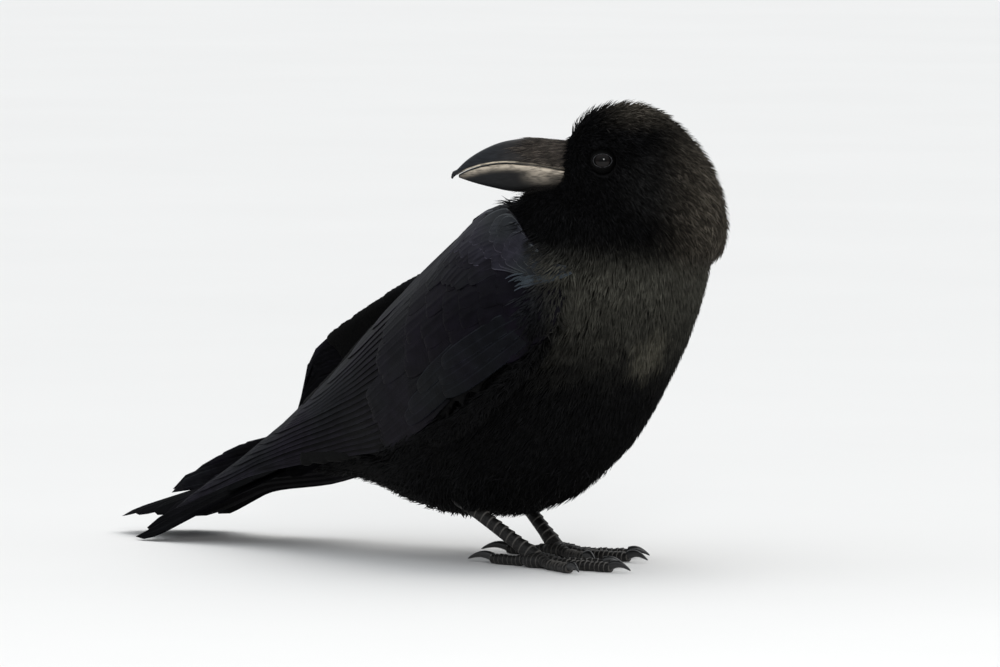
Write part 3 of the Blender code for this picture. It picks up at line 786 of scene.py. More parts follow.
def body_likelihood(points, normals):
    """What neither the head, the wings nor the back take, above the bare shanks."""
    feathered = ease(bird_axes(points)[:, 2], 0.0275, 0.0290)
    taken = (head_share(points), wing_share(points), back_share(points, normals))
    return (1 - taken[0]) * (1 - taken[1]) * (1 - taken[2]) * feathered


# %% [markdown]
# The head gets two layers. The plush itself is dense and short, and a little longer behind and below. Over
# its outline stand single longer feathers, because the edge of a real crow's head is never quite smooth.

# %% Grow the plush of the head
TUFT_ROOT, TUFT_STEPS = 0.0004, 3  # how deep a tuft starts under the skin, and in how many steps it bends
TUFT = (HAIR, ((0, 0.3, 0.7, 1), (0.7, 1.0, 0.8, 0.3)))
PLUSH_PER_MM2, FRINGE_PER_MM2 = 2.15, 0.42


def uneven(roots, low, high):
    """A random factor for each root."""
    return chance.uniform(low, high, len(roots[0]))


def soft_coat(name, roots, lengths, widths, rise, finish, stray=0.16):
    """Tufts over the skin: rise is how far the tips stand off it."""
    points, normals, _ = roots
    spine, up = walk(points - normals * TUFT_ROOT, normals, lengths, TUFT_STEPS, stray)
    feathers(name, roots, raised(spine, up, rise), up, widths, TUFT, finish)


def fringe_likelihood(points, normals):
    """Along the forehead, the crown, the nape, the chin and the throat, where single feathers stand out."""
    head = head_axes(points)
    top, behind = ease(head[:, 2], 0.014, 0.026), ease(head[:, 0], -0.012, -0.026)
    below = ease(head[:, 2], -0.016, -0.024)
    return head_likelihood(points, normals) * np.maximum(np.maximum(top, behind), below)


roots = scatter(skin_map, PLUSH_PER_MM2, head_likelihood)
head = head_axes(roots[0])
behind, low = ease(head[:, 0], 0.034, -0.026), ease(head[:, 2], -0.010, -0.034)
lengths = (0.0042 + 0.0036 * behind + 0.0034 * low) * uneven(roots, 0.8, 1.25)
rise = (0.0015 + 0.0012 * behind + 0.0010 * low) * uneven(roots, 0.7, 1.3)
soft_coat("head_plush", roots, lengths, 0.00060 + 0.0002 * behind, rise, plush, stray=0.2)

roots = scatter(skin_map, FRINGE_PER_MM2, fringe_likelihood)
head = head_axes(roots[0])
lengths = (0.0072 + 0.0022 * ease(head[:, 2], 0.0, -0.03)) * uneven(roots, 0.75, 1.25)
chin = ease(head[:, 0], 0.006, 0.020) * ease(head[:, 2], -0.014, -0.024)  # lies flatter than the rest
rise = 0.0046 * uneven(roots, 0.5, 1.25) * (1 - 0.6 * chin)
soft_coat("head_fringe", roots, lengths, 0.0008, rise, plush, stray=0.3)

# %% [markdown]
# Below the neck the soft feathers get twice as long. They stand up a little near the wings and under the
# nape, and round the thighs and the vent they end in a loose fringe that strays to all sides.

# %% Grow the soft feathers of neck, breast, belly and thighs
BODY_PER_MM2, LOOSE_PER_MM2 = 0.90, 0.30


def loose_likelihood(points, normals):
    """Round the thighs, the rear flank and the vent."""
    bird = bird_axes(points)
    rear = ease(bird[:, 0], -0.030, -0.055) * ease(normals[:, 2], 0.1, -0.2)
    return body_likelihood(points, normals) * np.maximum(rear, ease(bird[:, 2], 0.060, 0.046))


roots = scatter(skin_map, BODY_PER_MM2, body_likelihood)
bird = bird_axes(roots[0])
low = ease(bird[:, 2], 0.16, 0.06)
near_wing = ease(distances(wing_tree, roots[0]), 0.012, 0.004)
under_nape = ease(bird[:, 0], 0.086, 0.098) * ease(bird[:, 2], 0.120, 0.145)
lengths = (0.0085 + 0.0050 * low + 0.0030 * near_wing) * uneven(roots, 0.8, 1.2)
rise = (0.0036 - 0.0004 * low + 0.0026 * near_wing + 0.0024 * under_nape) * uneven(roots, 0.75, 1.25)
soft_coat("body_feathers", roots, lengths, 0.0009, rise, body_soft)

roots = scatter(skin_map, LOOSE_PER_MM2, loose_likelihood)
lengths, rise = 0.014 * uneven(roots, 0.7, 1.2), 0.0048 * uneven(roots, 0.5, 1.2)
soft_coat("loose_fringe", roots, lengths, 0.0010, rise, body_soft, stray=0.35)

# %% [markdown]
# ## Beds for the wings and the tail
# Long feathers don't follow the skin: they lie in a stack whose outline is the wing. The frame holds that
# outline as plain solids. A bed reads such a solid as a relief: rays fall on it from outside on a fine
# grid, and give its height. Evened out, it is a smooth sheet on which feathers are drawn with two simple
# numbers: how far along the wing, and how far from its upper edge to its lower one.

# %% Read a relief from the frame
class Bed:
    """A smooth sheet over CAD nodes. along and out are directions; across is square to both."""

    STEP = 0.002
    FALL = 0.0007  # how much the sheet falls away at each step past an edge
    SPREADS, EVENINGS = 14, 24  # rounds in which the sheet is spread and evened
    EDGE_WINDOW = 17  # steps over which an edge is evened
    PULL = 0.85  # how much of what reaches past an edge is drawn back
    AWAY = 0.2  # rays start this far outside

    def __init__(self, names, start, along, out):
        self.along = along.normalized()
        self.out = (out - self.along * out.dot(self.along)).normalized()
        self.across = self.out.cross(self.along) * (1 if self.out.cross(self.along).z >= 0 else -1)
        self.arrays = [np.array(way) for way in (start, self.along, self.across, self.out)]
        tree = tree_of(*names)
        corners = [Vector(v.co) - start for name in names for v in nodes[name].data.vertices]
        spans = [[corner.dot(axis) for corner in corners] for axis in (self.along, self.across)]
        self.low_a, self.low_b = (min(span) - 3 * self.STEP for span in spans)
        self.relief = np.full([int((max(span) - min(span)) / self.STEP) + 7 for span in spans], np.nan)
        for i, j in np.ndindex(*self.relief.shape):
            a, b = self.low_a + i * self.STEP, self.low_b + j * self.STEP
            above = start + self.along * a + self.across * b + self.out * self.AWAY
            hit = tree.ray_cast(above, -self.out, 2 * self.AWAY)[0]
            if hit is not None:
                self.relief[i, j] = (hit - start).dot(self.out)
        self.find_edges()
        self.fill()

    def find_edges(self):
        """The upper and lower edge, as places across, at each step along."""
        rows = [np.flatnonzero(~np.isnan(row)) for row in self.relief]
        reached = [i for i, row in enumerate(rows) if len(row) > 1]
        a = self.low_a + np.array(reached) * self.STEP
        self.first_a, self.edge_a, self.length = a[0], a - a[0], a[-1] - a[0]
        even = np.hanning(self.EDGE_WINDOW) / np.hanning(self.EDGE_WINDOW).sum()
        both = (self.low_b + np.array([rows[i][end] for i in reached]) * self.STEP for end in (0, -1))
        self.low_edge, self.high_edge = (
            np.convolve(np.pad(edge, self.EDGE_WINDOW // 2, mode="edge"), even, "valid") for edge in both
        )

    def straighten(self, share):
        """Replaces both edges by the straight lines that fit them over a first share of the length."""
        first = self.edge_a < share * self.length
        for edge in (self.low_edge, self.high_edge):
            edge[:] = np.polyval(np.polyfit(self.edge_a[first], edge[first], 1), self.edge_a)

    def fill(self):
        """Spreads the relief past its edges, and evens it."""
        for _ in range(self.SPREADS):
            near = np.stack([np.roll(self.relief, shift, axis) for axis in (0, 1) for shift in (-1, 1)])
            known = ~np.isnan(near)
            mean = np.where(known, near, 0).sum(axis=0) / np.maximum(known.sum(axis=0), 1)
            self.relief = np.where(np.isnan(self.relief) & known.any(axis=0), mean - self.FALL, self.relief)
        self.relief = np.where(np.isnan(self.relief), np.nanmin(self.relief), self.relief)
        for _ in range(self.EVENINGS):
            padded = np.pad(self.relief, 1, mode="edge")
            self.relief = (padded[:-2, 1:-1] + padded[2:, 1:-1] + padded[1:-1, :-2] + padded[1:-1, 2:]
                           + 2 * self.relief) / 6

    def edges(self, a):
        """The upper and the lower edge at places along, counted from the first."""
        return np.interp(a, self.edge_a, self.high_edge), np.interp(a, self.edge_a, self.low_edge)

    def drawn(self, s, t):
        """Lengths along and across for shares s of the length and t from the upper edge to the lower."""
        a = s * self.length
        high, low = self.edges(a)
        return self.first_a + a, high + (low - high) * t

    def kept_in(self, a, b):
        """Draws what reaches past an edge back towards it."""
        high, low = self.edges(a - self.first_a)
        return b - np.maximum(b - high, 0) * self.PULL + np.maximum(low - b, 0) * self.PULL

    def height(self, a, b):
        """The height of the sheet between the points of its grid."""
        x = np.clip((a - self.low_a) / self.STEP, 0, self.relief.shape[0] - 1.001)
        y = np.clip((b - self.low_b) / self.STEP, 0, self.relief.shape[1] - 1.001)
        i, j = x.astype(int), y.astype(int)
        x, y = x - i, y - j
        near, far = (self.relief[i, k] * (1 - x) + self.relief[i + 1, k] * x for k in (j, j + 1))
        return near * (1 - y) + far * y

    def lifted(self, a, b, lift):
        """Points of the bed, lifted off it."""
        height = (self.height(a, b) + lift)[..., None]
        start, along, across, out = self.arrays
        return start + a[..., None] * along + b[..., None] * across + height * out

    def shares(self, points):
        """The shares s and t of points."""
        start, along, across, _ = self.arrays
        a, b = (points - start) @ along, (points - start) @ across
        high, low = self.edges(a - self.first_a)
        return (a - self.first_a) / self.length, (high - b) / np.maximum(high - low, 1e-4)


WING_PARTS = ("coverts", "secondaries", "primaries")
WING_BEDS = {}
for side, sign in (("right", -1), ("left", 1)):
    names = [f"wing_{side}_{part}" for part in WING_PARTS]
    bend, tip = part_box(names[0]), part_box(names[2])
    start = Vector((bend[1].x, middle(names[0]).y + sign * 0.010, bend[1].z - 0.035))
    end = Vector((tip[0].x, middle(names[2]).y, tip[0].z))
    WING_BEDS[side] = Bed(names, start, end - start, Vector((0, sign, 0.12)))
    print(f"{side} wing: {WING_BEDS[side].length / MM:.0f} mm along")
far_bed = WING_BEDS["left"]  # its folded tip hangs a little lower than its solid
far_bed.low_edge -= 0.006 * ease(far_bed.edge_a / far_bed.length, 0.60, 0.85)

# %% [markdown]
# ## Vanes on a bed
# A flight feather is a shaft with a narrow web on the outer side and a broad one on the inner side. Folded,
# each lies over the next one out, so only a strip of its outer web shows. Every strip is therefore tilted
# like a roof tile. The long vanes of a piece share one whole unwrap between them, and the coverts take
# patches of the skin's at their roots.

# %% Draw vanes on a bed
# places across a vane: on the upper face from its outer to its inner edge, and on the lower face back
VANE_OVER = (-1.0, -0.86, -0.62, -0.36, -0.12, 0.0, 0.10, 0.34, 0.62, 0.86, 1.0, 0.6, 0.0, -0.6)
VANE_TOP = 11  # this many of those lie on the upper face, the rest below
VANE_SHAFT = 5  # this one lies on the shaft
SHAFT_HEIGHT, SHAFT_SPREAD = 0.00022, 0.07
ROOT_WIDTH, WIDENING = 0.55, 2.5  # how wide a vane starts, and how fast it widens along its length
MAP_MARGIN = 0.01  # above and below the vanes on their unwrap


def rounded_end(u, start, power):
    """1 along a feather and narrowing to 0 at its tip, from a share on."""
    return np.maximum(1 - np.clip((u - start) / (1 - start), 0, 1) ** power, 0) ** 0.6


def vanes(name, bed, s, t, outer, inner, lift, finish, tilt, end=(0.72, 2.2), thick=0.00028, camber=0.0005,
          patches=None):
    """Vanes on a bed. s and t: shares along and across for stations x feathers of the shaft, tip last.
    outer and inner: the webs' widths. lift: heights of the shaft over the bed, like s. patches: roots on
    the skin's unwrap."""
    a, b = bed.drawn(s, t)
    stations, count = a.shape
    run_a, run_b = np.gradient(a, axis=0), np.gradient(b, axis=0)
    run = np.maximum(np.hypot(run_a, run_b), 1e-9)
    # the outer side is the one towards the lower edge of the wing
    off_a, off_b = run_b / run, -run_a / run
    flip = np.where(off_b > 0, -1, 1)
    off_a, off_b = off_a * flip, off_b * flip
    u = np.linspace(0, 1, stations)[:, None]
    full = rounded_end(u, *end) * np.clip(ROOT_WIDTH + WIDENING * u, 0, 1)
    over = np.array(VANE_OVER)[None, :, None]
    wide = np.where(over < 0, -over * outer, -over * inner) * full[:, None]
    shaft = SHAFT_HEIGHT * np.exp(-((over / SHAFT_SPREAD) ** 2))
    rise = camber * (1 - over ** 2) * full[:, None] + shaft - tilt * over
    rise = rise - np.where(np.arange(len(VANE_OVER)) < VANE_TOP, 0, thick)[None, :, None]
    ring_a, ring_b = a[:, None] + off_a[:, None] * wide, b[:, None] + off_b[:, None] * wide
    rings = bed.lifted(ring_a, bed.kept_in(ring_a, ring_b), lift[:, None] + rise)[:-1]
    tips = bed.lifted(a[-1], b[-1], lift[-1])
    web, shafts = rings[1, VANE_TOP - 1] - rings[1, 0], rings[2, VANE_SHAFT] - rings[1, VANE_SHAFT]
    order = VANE_OVER
    if (np.cross(web, shafts) @ np.array(bed.out)).mean() > 0:  # turn the faces outwards
        rings, order = rings[:, ::-1], VANE_OVER[::-1]
    if patches is None:
        corner = np.stack([np.arange(count) / count, np.full(count, MAP_MARGIN)], axis=1)
        size = np.array((0.9 / count, 1 - 2 * MAP_MARGIN))
    else:
        corner, size = patches - PATCH / 2, PATCH
    strips(name, rings, tips, order, tint(tips), corner, size, finish)
    print(f"{name}: {count} vanes")


# %% [markdown]
# Crow black is a stack of near blacks. The webs carry fine slanting barbs, and the edges are paler than the
# middle as a painted sheen. On the flight feathers each strip carries a painted shadow where the next feather
# covers it, and lightens towards its tip as a painted sheen. A weak purple and green gloss drifts over the
# whole. A real feather makes that gloss by interference, and it shifts with the angle of view. Here it is
# mixed in as a colour, which is far simpler, and stays put.

# %% Finishes of the vanes
def vane_finish(name, sheen, edge, roughness, specular, overlap_shadow=0.0, dim_tip=0.0, shaft_share=0.6):
    """Glossy vane: dark webs with fine slanting barbs, a shaft line, and paler edges as a painted sheen."""
    made = Finish(name, roughness, specular)
    across, along, seed = (made.attribute(key) for key in ("across", "along", "seed"))
    away = made.maths("ABSOLUTE", across)
    # the rims of the webs are mixed towards the paler edge colour, a painted sheen
    base = made.mix(made.product(made.span(away, 0.84, 1.0), 0.8), sheen, edge)
    base = made.mix(made.span(away, 0.05, 0.0, 0.0, shaft_share), base, edge)
    gloss = made.mix(made.span(made.noise(24, 2), 0.38, 0.62), (1.10, 0.96, 1.12), (0.97, 1.02, 0.95))
    barbs = made.maths("SINE", made.maths("MULTIPLY_ADD", away, 26.0, made.product(along, -240.0)))
    cloud = made.span(made.noise(160, 3), 0.3, 0.7, 0.75, 1.25)
    level = made.product(made.maths("MULTIPLY_ADD", seed, 0.2, 0.9), cloud)
    level = made.maths("MULTIPLY_ADD", barbs, 0.05, level)
    if overlap_shadow:
        # each strip darkens where the feather above it begins, a painted shadow of that feather, but not near
        # the tip, which lies open; towards its tip the strip lightens, a painted sheen
        under = made.product(made.span(across, -0.66, -0.38), made.span(along, 0.93, 0.80))
        level = made.product(
            level, made.maths("MULTIPLY_ADD", under, -overlap_shadow, 1.0), made.span(along, 0.3, 0.9, 0.85, 1.45),
        )
    if dim_tip:
        level = made.product(level, made.span(along, 0.86, 0.97, 1.0, 1.0 - dim_tip))
    made.colour(made.mix(1.0, base, gloss, "MULTIPLY"), level)
    made.bump(made.maths("MULTIPLY_ADD", barbs, 0.5, made.noise(1400, 2)), 0.25, 0.0002)
    return made


# for each kind the colours of web and edge, roughness and specular level. The pale bluish webs and edges
# of the mantle, scapulars and shoulder are partly a painted sheen of the sky.
GLOSS = {name: vane_finish(f"{name}_feather", *values, **more) for name, values, more in (
    ("long_covert", ((0.0052, 0.0050, 0.0070), (0.0085, 0.0085, 0.0110), 0.42, 0.04), {"dim_tip": 0.6}),
    ("flight", ((0.0062, 0.0060, 0.0082), (0.022, 0.0225, 0.027), 0.42, 0.04), {"overlap_shadow": 0.8}),
    ("covert", ((0.0040, 0.0034, 0.0058), (0.0044, 0.0038, 0.0064), 0.45, 0.035), {"dim_tip": 0.6}),
    ("alula", ((0.0044, 0.0048, 0.0064), (0.016, 0.019, 0.024), 0.42, 0.04), {"dim_tip": 0.3}),
    ("scapular", ((0.0052, 0.0051, 0.0070), (0.0170, 0.0180, 0.0225), 0.45, 0.045), {}),
    ("shoulder", ((0.0170, 0.0180, 0.0225), (0.092, 0.098, 0.110), 0.45, 0.06), {"shaft_share": 0.12}),
    ("upper_scapular", ((0.0130, 0.0138, 0.0175), (0.084, 0.090, 0.104), 0.45, 0.05), {"shaft_share": 0.12}),
    ("mantle", ((0.0120, 0.0125, 0.0155), (0.030, 0.032, 0.038), 0.48, 0.04), {}),
    # tiny feathers whose pale blue is a painted highlight
    ("blue_highlight", ((0.042, 0.049, 0.062), (0.115, 0.130, 0.158), 0.45, 0.06), {}),
    # the tail is darkened as a painted shadow of the wings that lie over it
    ("tail", ((0.0024, 0.0024, 0.0030), (0.0070, 0.0070, 0.0085), 0.50, 0.005), {}),
)}
print(len(GLOSS), "finishes for vanes")

# %% [markdown]
# ## Flight feathers
# Ten primaries, six secondaries and three tertials make the folded wing. Seen on the bed their outer edges
# are nearly parallel, lowest for the outermost primary. Towards its own tip each one swings up to the
# wing's upper edge, where the tips show one after another. The outermost three stay low, and the longest
# make the wing's tip.

# %% Lay the flight feathers
STATIONS = 18
FLIGHT_TIPS = np.array((  # shares of the wing, innermost first
    0.50, 0.565, 0.625, 0.672, 0.695, 0.715, 0.728, 0.735, 0.742, 0.765,
    0.80, 0.835, 0.87, 0.920, 0.970, 1.010, 1.015, 0.955, 0.86,
))
SWINGS = np.array([0.55] * 3 + [0.7] * 6 + [0.82] * 6 + [0.55, 0.40, 0.25, 0.10])  # how far each swings up
FLIGHT = len(FLIGHT_TIPS)
FIRST_T, LAST_T = 0.10, 0.93  # places across the wing
FIRST_START, LAST_START = 0.22, 0.34  # places along it where the shafts start
OUTER_WEB, INNER_WEB = 0.0042, 0.0105

u = np.linspace(0, 1, STATIONS)[:, None] ** 0.85
starts = np.linspace(FIRST_START, LAST_START, FLIGHT)
home = FIRST_T + (LAST_T - FIRST_T) * (np.arange(FLIGHT) / (FLIGHT - 1)) ** 0.9
s = starts + (FLIGHT_TIPS - starts) * u
t = home * (1 - SWINGS * (s / FLIGHT_TIPS) ** 5)
wide = np.interp(np.arange(FLIGHT), (0, 3, 9, 18), (1.2, 1.1, 0.9, 0.7))
lift = -0.0010 + 0.0012 * np.linspace(0, 1, STATIONS)[:, None] ** 2 + 0 * s
for side, bed in WING_BEDS.items():
    outer, inner = OUTER_WEB * wide, INNER_WEB * wide
    vanes(f"flight_feathers_{side}", bed, s, t, outer, inner, lift, GLOSS["flight"], tilt=0.0010)

# %% [markdown]
# Coverts lie over the roots of the long feathers in rows, like slates, and each row hides the roots of the
# row behind it. The alula lies over them at the bend of the wing, and the scapulars fall over its upper
# edge. The smallest rows are the pale scallops of the shoulder, whose pale rims are partly a painted sheen of
# the sky, and a patch of tiny feathers at its front, which carry a painted blue highlight. A table holds all
# of them, in the order in which they are laid.

# %% Lay the feathers over their roots
def covert_rows(name, bed, rows, finish, root_lift=-0.0009, tip_lift=0.0002):
    """Rows of coverts: for each its count, s of the tips at top and bottom, t range, length, width, lean."""
    all_s, all_t, widths = [], [], []
    u = np.sin(np.linspace(0, math.pi / 2, STATIONS // 2 + 2))[:, None]
    for count, tip_top, tip_low, first_t, last_t, length, width, lean in rows:
        k = np.linspace(0, 1, count)
        tip_s = tip_top + (tip_low - tip_top) * k + chance.normal(0, 0.006, count)
        tip_t = first_t + (last_t - first_t) * k + chance.normal(0, 0.006, count)
        all_s.append(tip_s - (1 - u) * length / bed.length)
        all_t.append(tip_t - (1 - u ** 1.6) * lean)
        widths.append(np.full(count, width))
    s, t, width = np.concatenate(all_s, axis=1), np.concatenate(all_t, axis=1), np.concatenate(widths)
    lift = root_lift + (tip_lift - root_lift) * u ** 0.7 + 0 * s
    a, b = bed.drawn(s[0], t[0])
    below = skin_map.nearest(bed.lifted(a, b, 0 * a))[2]
    patches = skin_map.uv[below].mean(axis=1)
    vanes(name, bed, s, t, width * 0.45, width * 0.55, lift, finish, tilt=0.0001, end=(0.40, 2.2),
          thick=0.0002, camber=0.0002, patches=patches)


COVERTS = {  # finish, lift of the roots and of the tips, and the rows
    "long_coverts": ("long_covert", -0.0009, 0.0002, (
        (9, 0.470, 0.480, 0.62, 0.95, 0.062, 0.0090, 0.10),  # over the primaries
        (9, 0.41, 0.435, 0.08, 0.56, 0.050, 0.0130, 0.02),  # over the secondaries
    )),
    "short_coverts": ("covert", -0.0009, 0.0002, (
        (7, 0.340, 0.345, 0.12, 0.60, 0.046, 0.0180, 0.00),
        (7, 0.285, 0.280, 0.12, 0.64, 0.040, 0.0175, 0.00),
        (7, 0.235, 0.225, 0.12, 0.74, 0.034, 0.0170, 0.00),
        (7, 0.190, 0.175, 0.12, 0.82, 0.030, 0.0165, 0.00),
        (8, 0.150, 0.130, 0.12, 0.86, 0.026, 0.0155, 0.00),
        (8, 0.115, 0.095, 0.12, 0.86, 0.022, 0.0145, 0.00),
        (8, 0.082, 0.068, 0.14, 0.84, 0.016, 0.0140, 0.00),
    )),
    "alula": ("alula", 0.0, 0.0008, (
        (3, 0.330, 0.400, 0.74, 0.86, 0.050, 0.0100, 0.04),
        (3, 0.255, 0.285, 0.71, 0.84, 0.062, 0.0105, -0.03),
    )),
    "scapulars": ("scapular", -0.0008, 0.0006, (
        (8, 0.300, 0.170, 0.21, 0.40, 0.034, 0.0150, 0.08),
        (8, 0.265, 0.140, 0.17, 0.33, 0.032, 0.0145, 0.06),
    )),
    "upper_scapulars": ("upper_scapular", -0.0006, 0.0007, (
        (8, 0.235, 0.130, 0.12, 0.33, 0.032, 0.0120, 0.05),
        (8, 0.185, 0.100, 0.12, 0.33, 0.026, 0.0115, 0.04),
    )),
    # pale rims, partly a painted sheen of the sky
    "shoulder": ("shoulder", -0.0004, 0.0009, (
        (7, 0.135, 0.080, 0.11, 0.29, 0.022, 0.0105, 0.03),
        (7, 0.105, 0.055, 0.11, 0.29, 0.016, 0.0095, 0.02),
        (6, 0.070, 0.035, 0.12, 0.25, 0.012, 0.0085, 0.01),
    )),
    # tiny feathers at the front of the shoulder, carrying a painted blue highlight
    "blue_highlight": ("blue_highlight", 0.0, 0.0012, (
        (13, 0.064, 0.050, 0.435, 0.530, 0.014, 0.0010, 0.07),
        (11, 0.044, 0.032, 0.430, 0.520, 0.013, 0.0010, 0.07),
        (8, 0.080, 0.066, 0.460, 0.540, 0.011, 0.0009, 0.06),
    )),
}
for side, bed in WING_BEDS.items():
    for name, (kind, root_lift, tip_lift, rows) in COVERTS.items():
        covert_rows(f"{name}_{side}", bed, rows, GLOSS[kind], root_lift, tip_lift)

# %% [markdown]
# ## Tail
# Twelve tail feathers lie in a shallow fan, the middle pair on top. They share the tail's solid as their
# bed. The fan's lines start close together at the root and spread to the rounded end. The upper tail
# coverts reach from under the wings over their roots. All of them are darkened with a painted shadow of
# the wings over them.

# %% Lay the tail feathers
TAIL_TIPS = np.array((  # shares of the tail, from the right to the left
    0.79, 0.77, 0.71, 0.80, 0.92, 1.02, 1.03, 1.00, 0.97, 0.94, 0.89, 0.80,
))
TAIL_FEATHERS = len(TAIL_TIPS)
TAIL_ROOT = 0.02
TAIL_WEBS = (0.0055, 0.0085)
TAIL_COVERTS = (
    (8, 0.42, 0.42, 0.12, 0.97, 0.056, 0.0140, 0.00),
    (8, 0.31, 0.31, 0.12, 0.97, 0.044, 0.0150, 0.00),
    (8, 0.21, 0.21, 0.12, 0.97, 0.032, 0.0150, 0.00),
)
tail_start = on_bird(-0.098, 0.0, 0.0625)
tail_end = on_bird(-0.276, 0.004, 0.011)
tail_bed = Bed(["tail"], tail_start, tail_end - tail_start, Vector((0, 0.05, 1)))
tail_bed.straighten(0.7)
tail_bed.low_edge -= 0.024 * ease(tail_bed.edge_a / tail_bed.length, 0.55, 0.15)  # roots reach under the wing
u = np.linspace(0, 1, STATIONS)[:, None] ** 0.9
share = (np.arange(TAIL_FEATHERS) + 0.5) / TAIL_FEATHERS
from_middle = np.abs(share * 2 - 1)
tail_s, tail_t = TAIL_ROOT + (TAIL_TIPS - TAIL_ROOT) * u, share + 0 * u
half = TAIL_FEATHERS // 2
for name, part, sign in (("tail_feathers_a", slice(0, half), 1), ("tail_feathers_b", slice(half, None), -1)):
    lift = -0.0012 - 0.0012 * from_middle[part] + 0.0004 * u
    outer, inner = (np.full(half, web) for web in TAIL_WEBS)
    vanes(name, tail_bed, tail_s[:, part], tail_t[:, part], outer, inner, lift, GLOSS["tail"],
          tilt=0.0006 * sign, end=(0.78, 1.7))
covert_rows("upper_tail_coverts", tail_bed, TAIL_COVERTS, GLOSS["tail"], -0.0010, 0.0004)

# %% [markdown]
# A folded wing is tucked in. The soft feathers of the breast close over its bend, and those of the flank
# over its lower edge. They grow on the skin, in front of and under the wing, and reach over it.

# %% Let the soft feathers of the breast and flank overlap the wing
WING_EDGE_PER_MM2 = 1.3


def wing_edge_likelihood(points, normals):
    """Over the bend of either wing and along its lower edge, where the breast and flank feathers cover it."""
    found = np.zeros(len(points))
    for bed in WING_BEDS.values():
        s, t = bed.shares(points)
        outer = ease(normals @ np.array(bed.out), -0.5, -0.1)
        front = 0.050 + 0.030 * ease(t, 0.45, 0.65)  # more of the lower front is covered
        edge = np.maximum(ease(s - front, 0.0, -0.035), ease(t, 0.89, 0.95) * ease(s, 0.50, 0.40))
        found = np.maximum(found, outer * edge)
    return found * wing_share(points)


roots = scatter(skin_map, WING_EDGE_PER_MM2, wing_edge_likelihood)
lengths, rise = 0.0080 * uneven(roots, 0.8, 1.2), 0.0046 * uneven(roots, 0.85, 1.15)
soft_coat("wing_edge_feathers", roots, lengths, 0.0008, rise, body_soft)

# %% [markdown]
# The last feathers of the body reach out past the end of the skin, over the roots of the tail. There is
# nothing under them to follow, so they simply run on straight.

# %% Cover the roots of the tail
COVER_PER_MM2, COVER_SPACING, COVER_LENGTH, COVER_WIDTH, COVER_RISE = 0.30, 0.0036, 0.036, 0.0120, 0.0016
VANE_ROOT, VANE_STEPS = 0.0008, 5  # like those of the tufts
ROUNDED = (VANE, ((0, 0.3, 0.6, 0.8, 1), (0.5, 0.95, 1.0, 0.8, 0.35)))


def tail_cover_likelihood(points, normals):
    """Round the end of the body, over and under the roots of the tail."""
    hind = ease(bird_axes(points)[:, 0], -0.062, -0.078)
    return hind * (1 - wing_share(points)) * ease(normals[:, 2], -0.1, 0.3)


roots = thinned(scatter(skin_map, COVER_PER_MM2, tail_cover_likelihood), COVER_SPACING)
points, normals, _ = roots
way = unit(np.array(tail_bed.along) - normals * 0.06 + chance.normal(0, 0.05, normals.shape))
lengths = COVER_LENGTH * uneven(roots, 0.8, 1.1)
u = np.linspace(0, 1, VANE_STEPS + 1)[:, None, None]
arch = normals * COVER_RISE * np.sin(u * math.pi * 0.6)
spine = points - normals * VANE_ROOT + way * lengths[:, None] * u + arch
up = np.repeat(normals[None], VANE_STEPS + 1, axis=0)
feathers("tail_covers", roots, spine, up, COVER_WIDTH, ROUNDED, GLOSS["tail"])

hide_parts("tail")
for side in WING_BEDS:
    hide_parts(*[f"wing_{side}_{part}" for part in WING_PARTS])

# %% [markdown]
# ## Mantle, scapulars and rump
# The back is covered with broad rounded feathers with paler bluish rims, partly a painted sheen of the sky,
# which makes it look scalloped.
# They also hang over the upper edge of the wing. They are vanes with a ridge, thinned out so that no two
# start at the same place, and laid from the neck to the tail so that each covers the root of the next.

# %% Grow the broad feathers of the back
MANTLE_PER_MM2, MANTLE_SPACING = 0.12, 0.0046
MANTLE_LENGTHS = ((-0.10, -0.02, 0.03, 0.06), (0.028, 0.026, 0.018, 0.012))  # by the place along the bird
MANTLE_RISE, LESS_ON_WING = 0.0032, 0.0010


def on_upper_wing(points):
    """1 on the upper edge of either wing, near its bend, which the scapulars cover."""
    found, near = np.zeros(len(points)), wing_share(points)
    for bed in WING_BEDS.values():
        s, t = bed.shares(points)
        found = np.maximum(found, near * ease(t, 0.13, 0.07) * ease(s, 0.21, 0.13))
    return found


def mantle_likelihood(points, normals):
    behind = ease(bird_axes(points)[:, 0], -0.094, -0.084)
    back = back_share(points, normals) * (1 - wing_share(points)) * behind
    return np.maximum(back, on_upper_wing(points) * ease(normals[:, 2], -0.2, 0.1))


roots = thinned(scatter(skin_map, MANTLE_PER_MM2, mantle_likelihood), MANTLE_SPACING)
points, normals, _ = roots
lengths = np.interp(bird_axes(points)[:, 0], *MANTLE_LENGTHS) * uneven(roots, 0.9, 1.1)
spine, up = walk(points - normals * VANE_ROOT, normals, lengths, VANE_STEPS, 0.04)
spine = raised(spine, up, MANTLE_RISE - LESS_ON_WING * wing_share(points))
feathers("mantle_feathers", roots, spine, up, lengths * 0.50, ROUNDED, GLOSS["mantle"])

# %% [markdown]
# ## Bill
# The bill is a long arched cone in two halves. The upper half overhangs the lower one in a small hook, and
# its front is smooth blue-grey horn. A thin cream line runs along both cutting edges, and the lower half is
# pale above and dark below. Each half is lofted: rings of points are set along the bill and bridged.

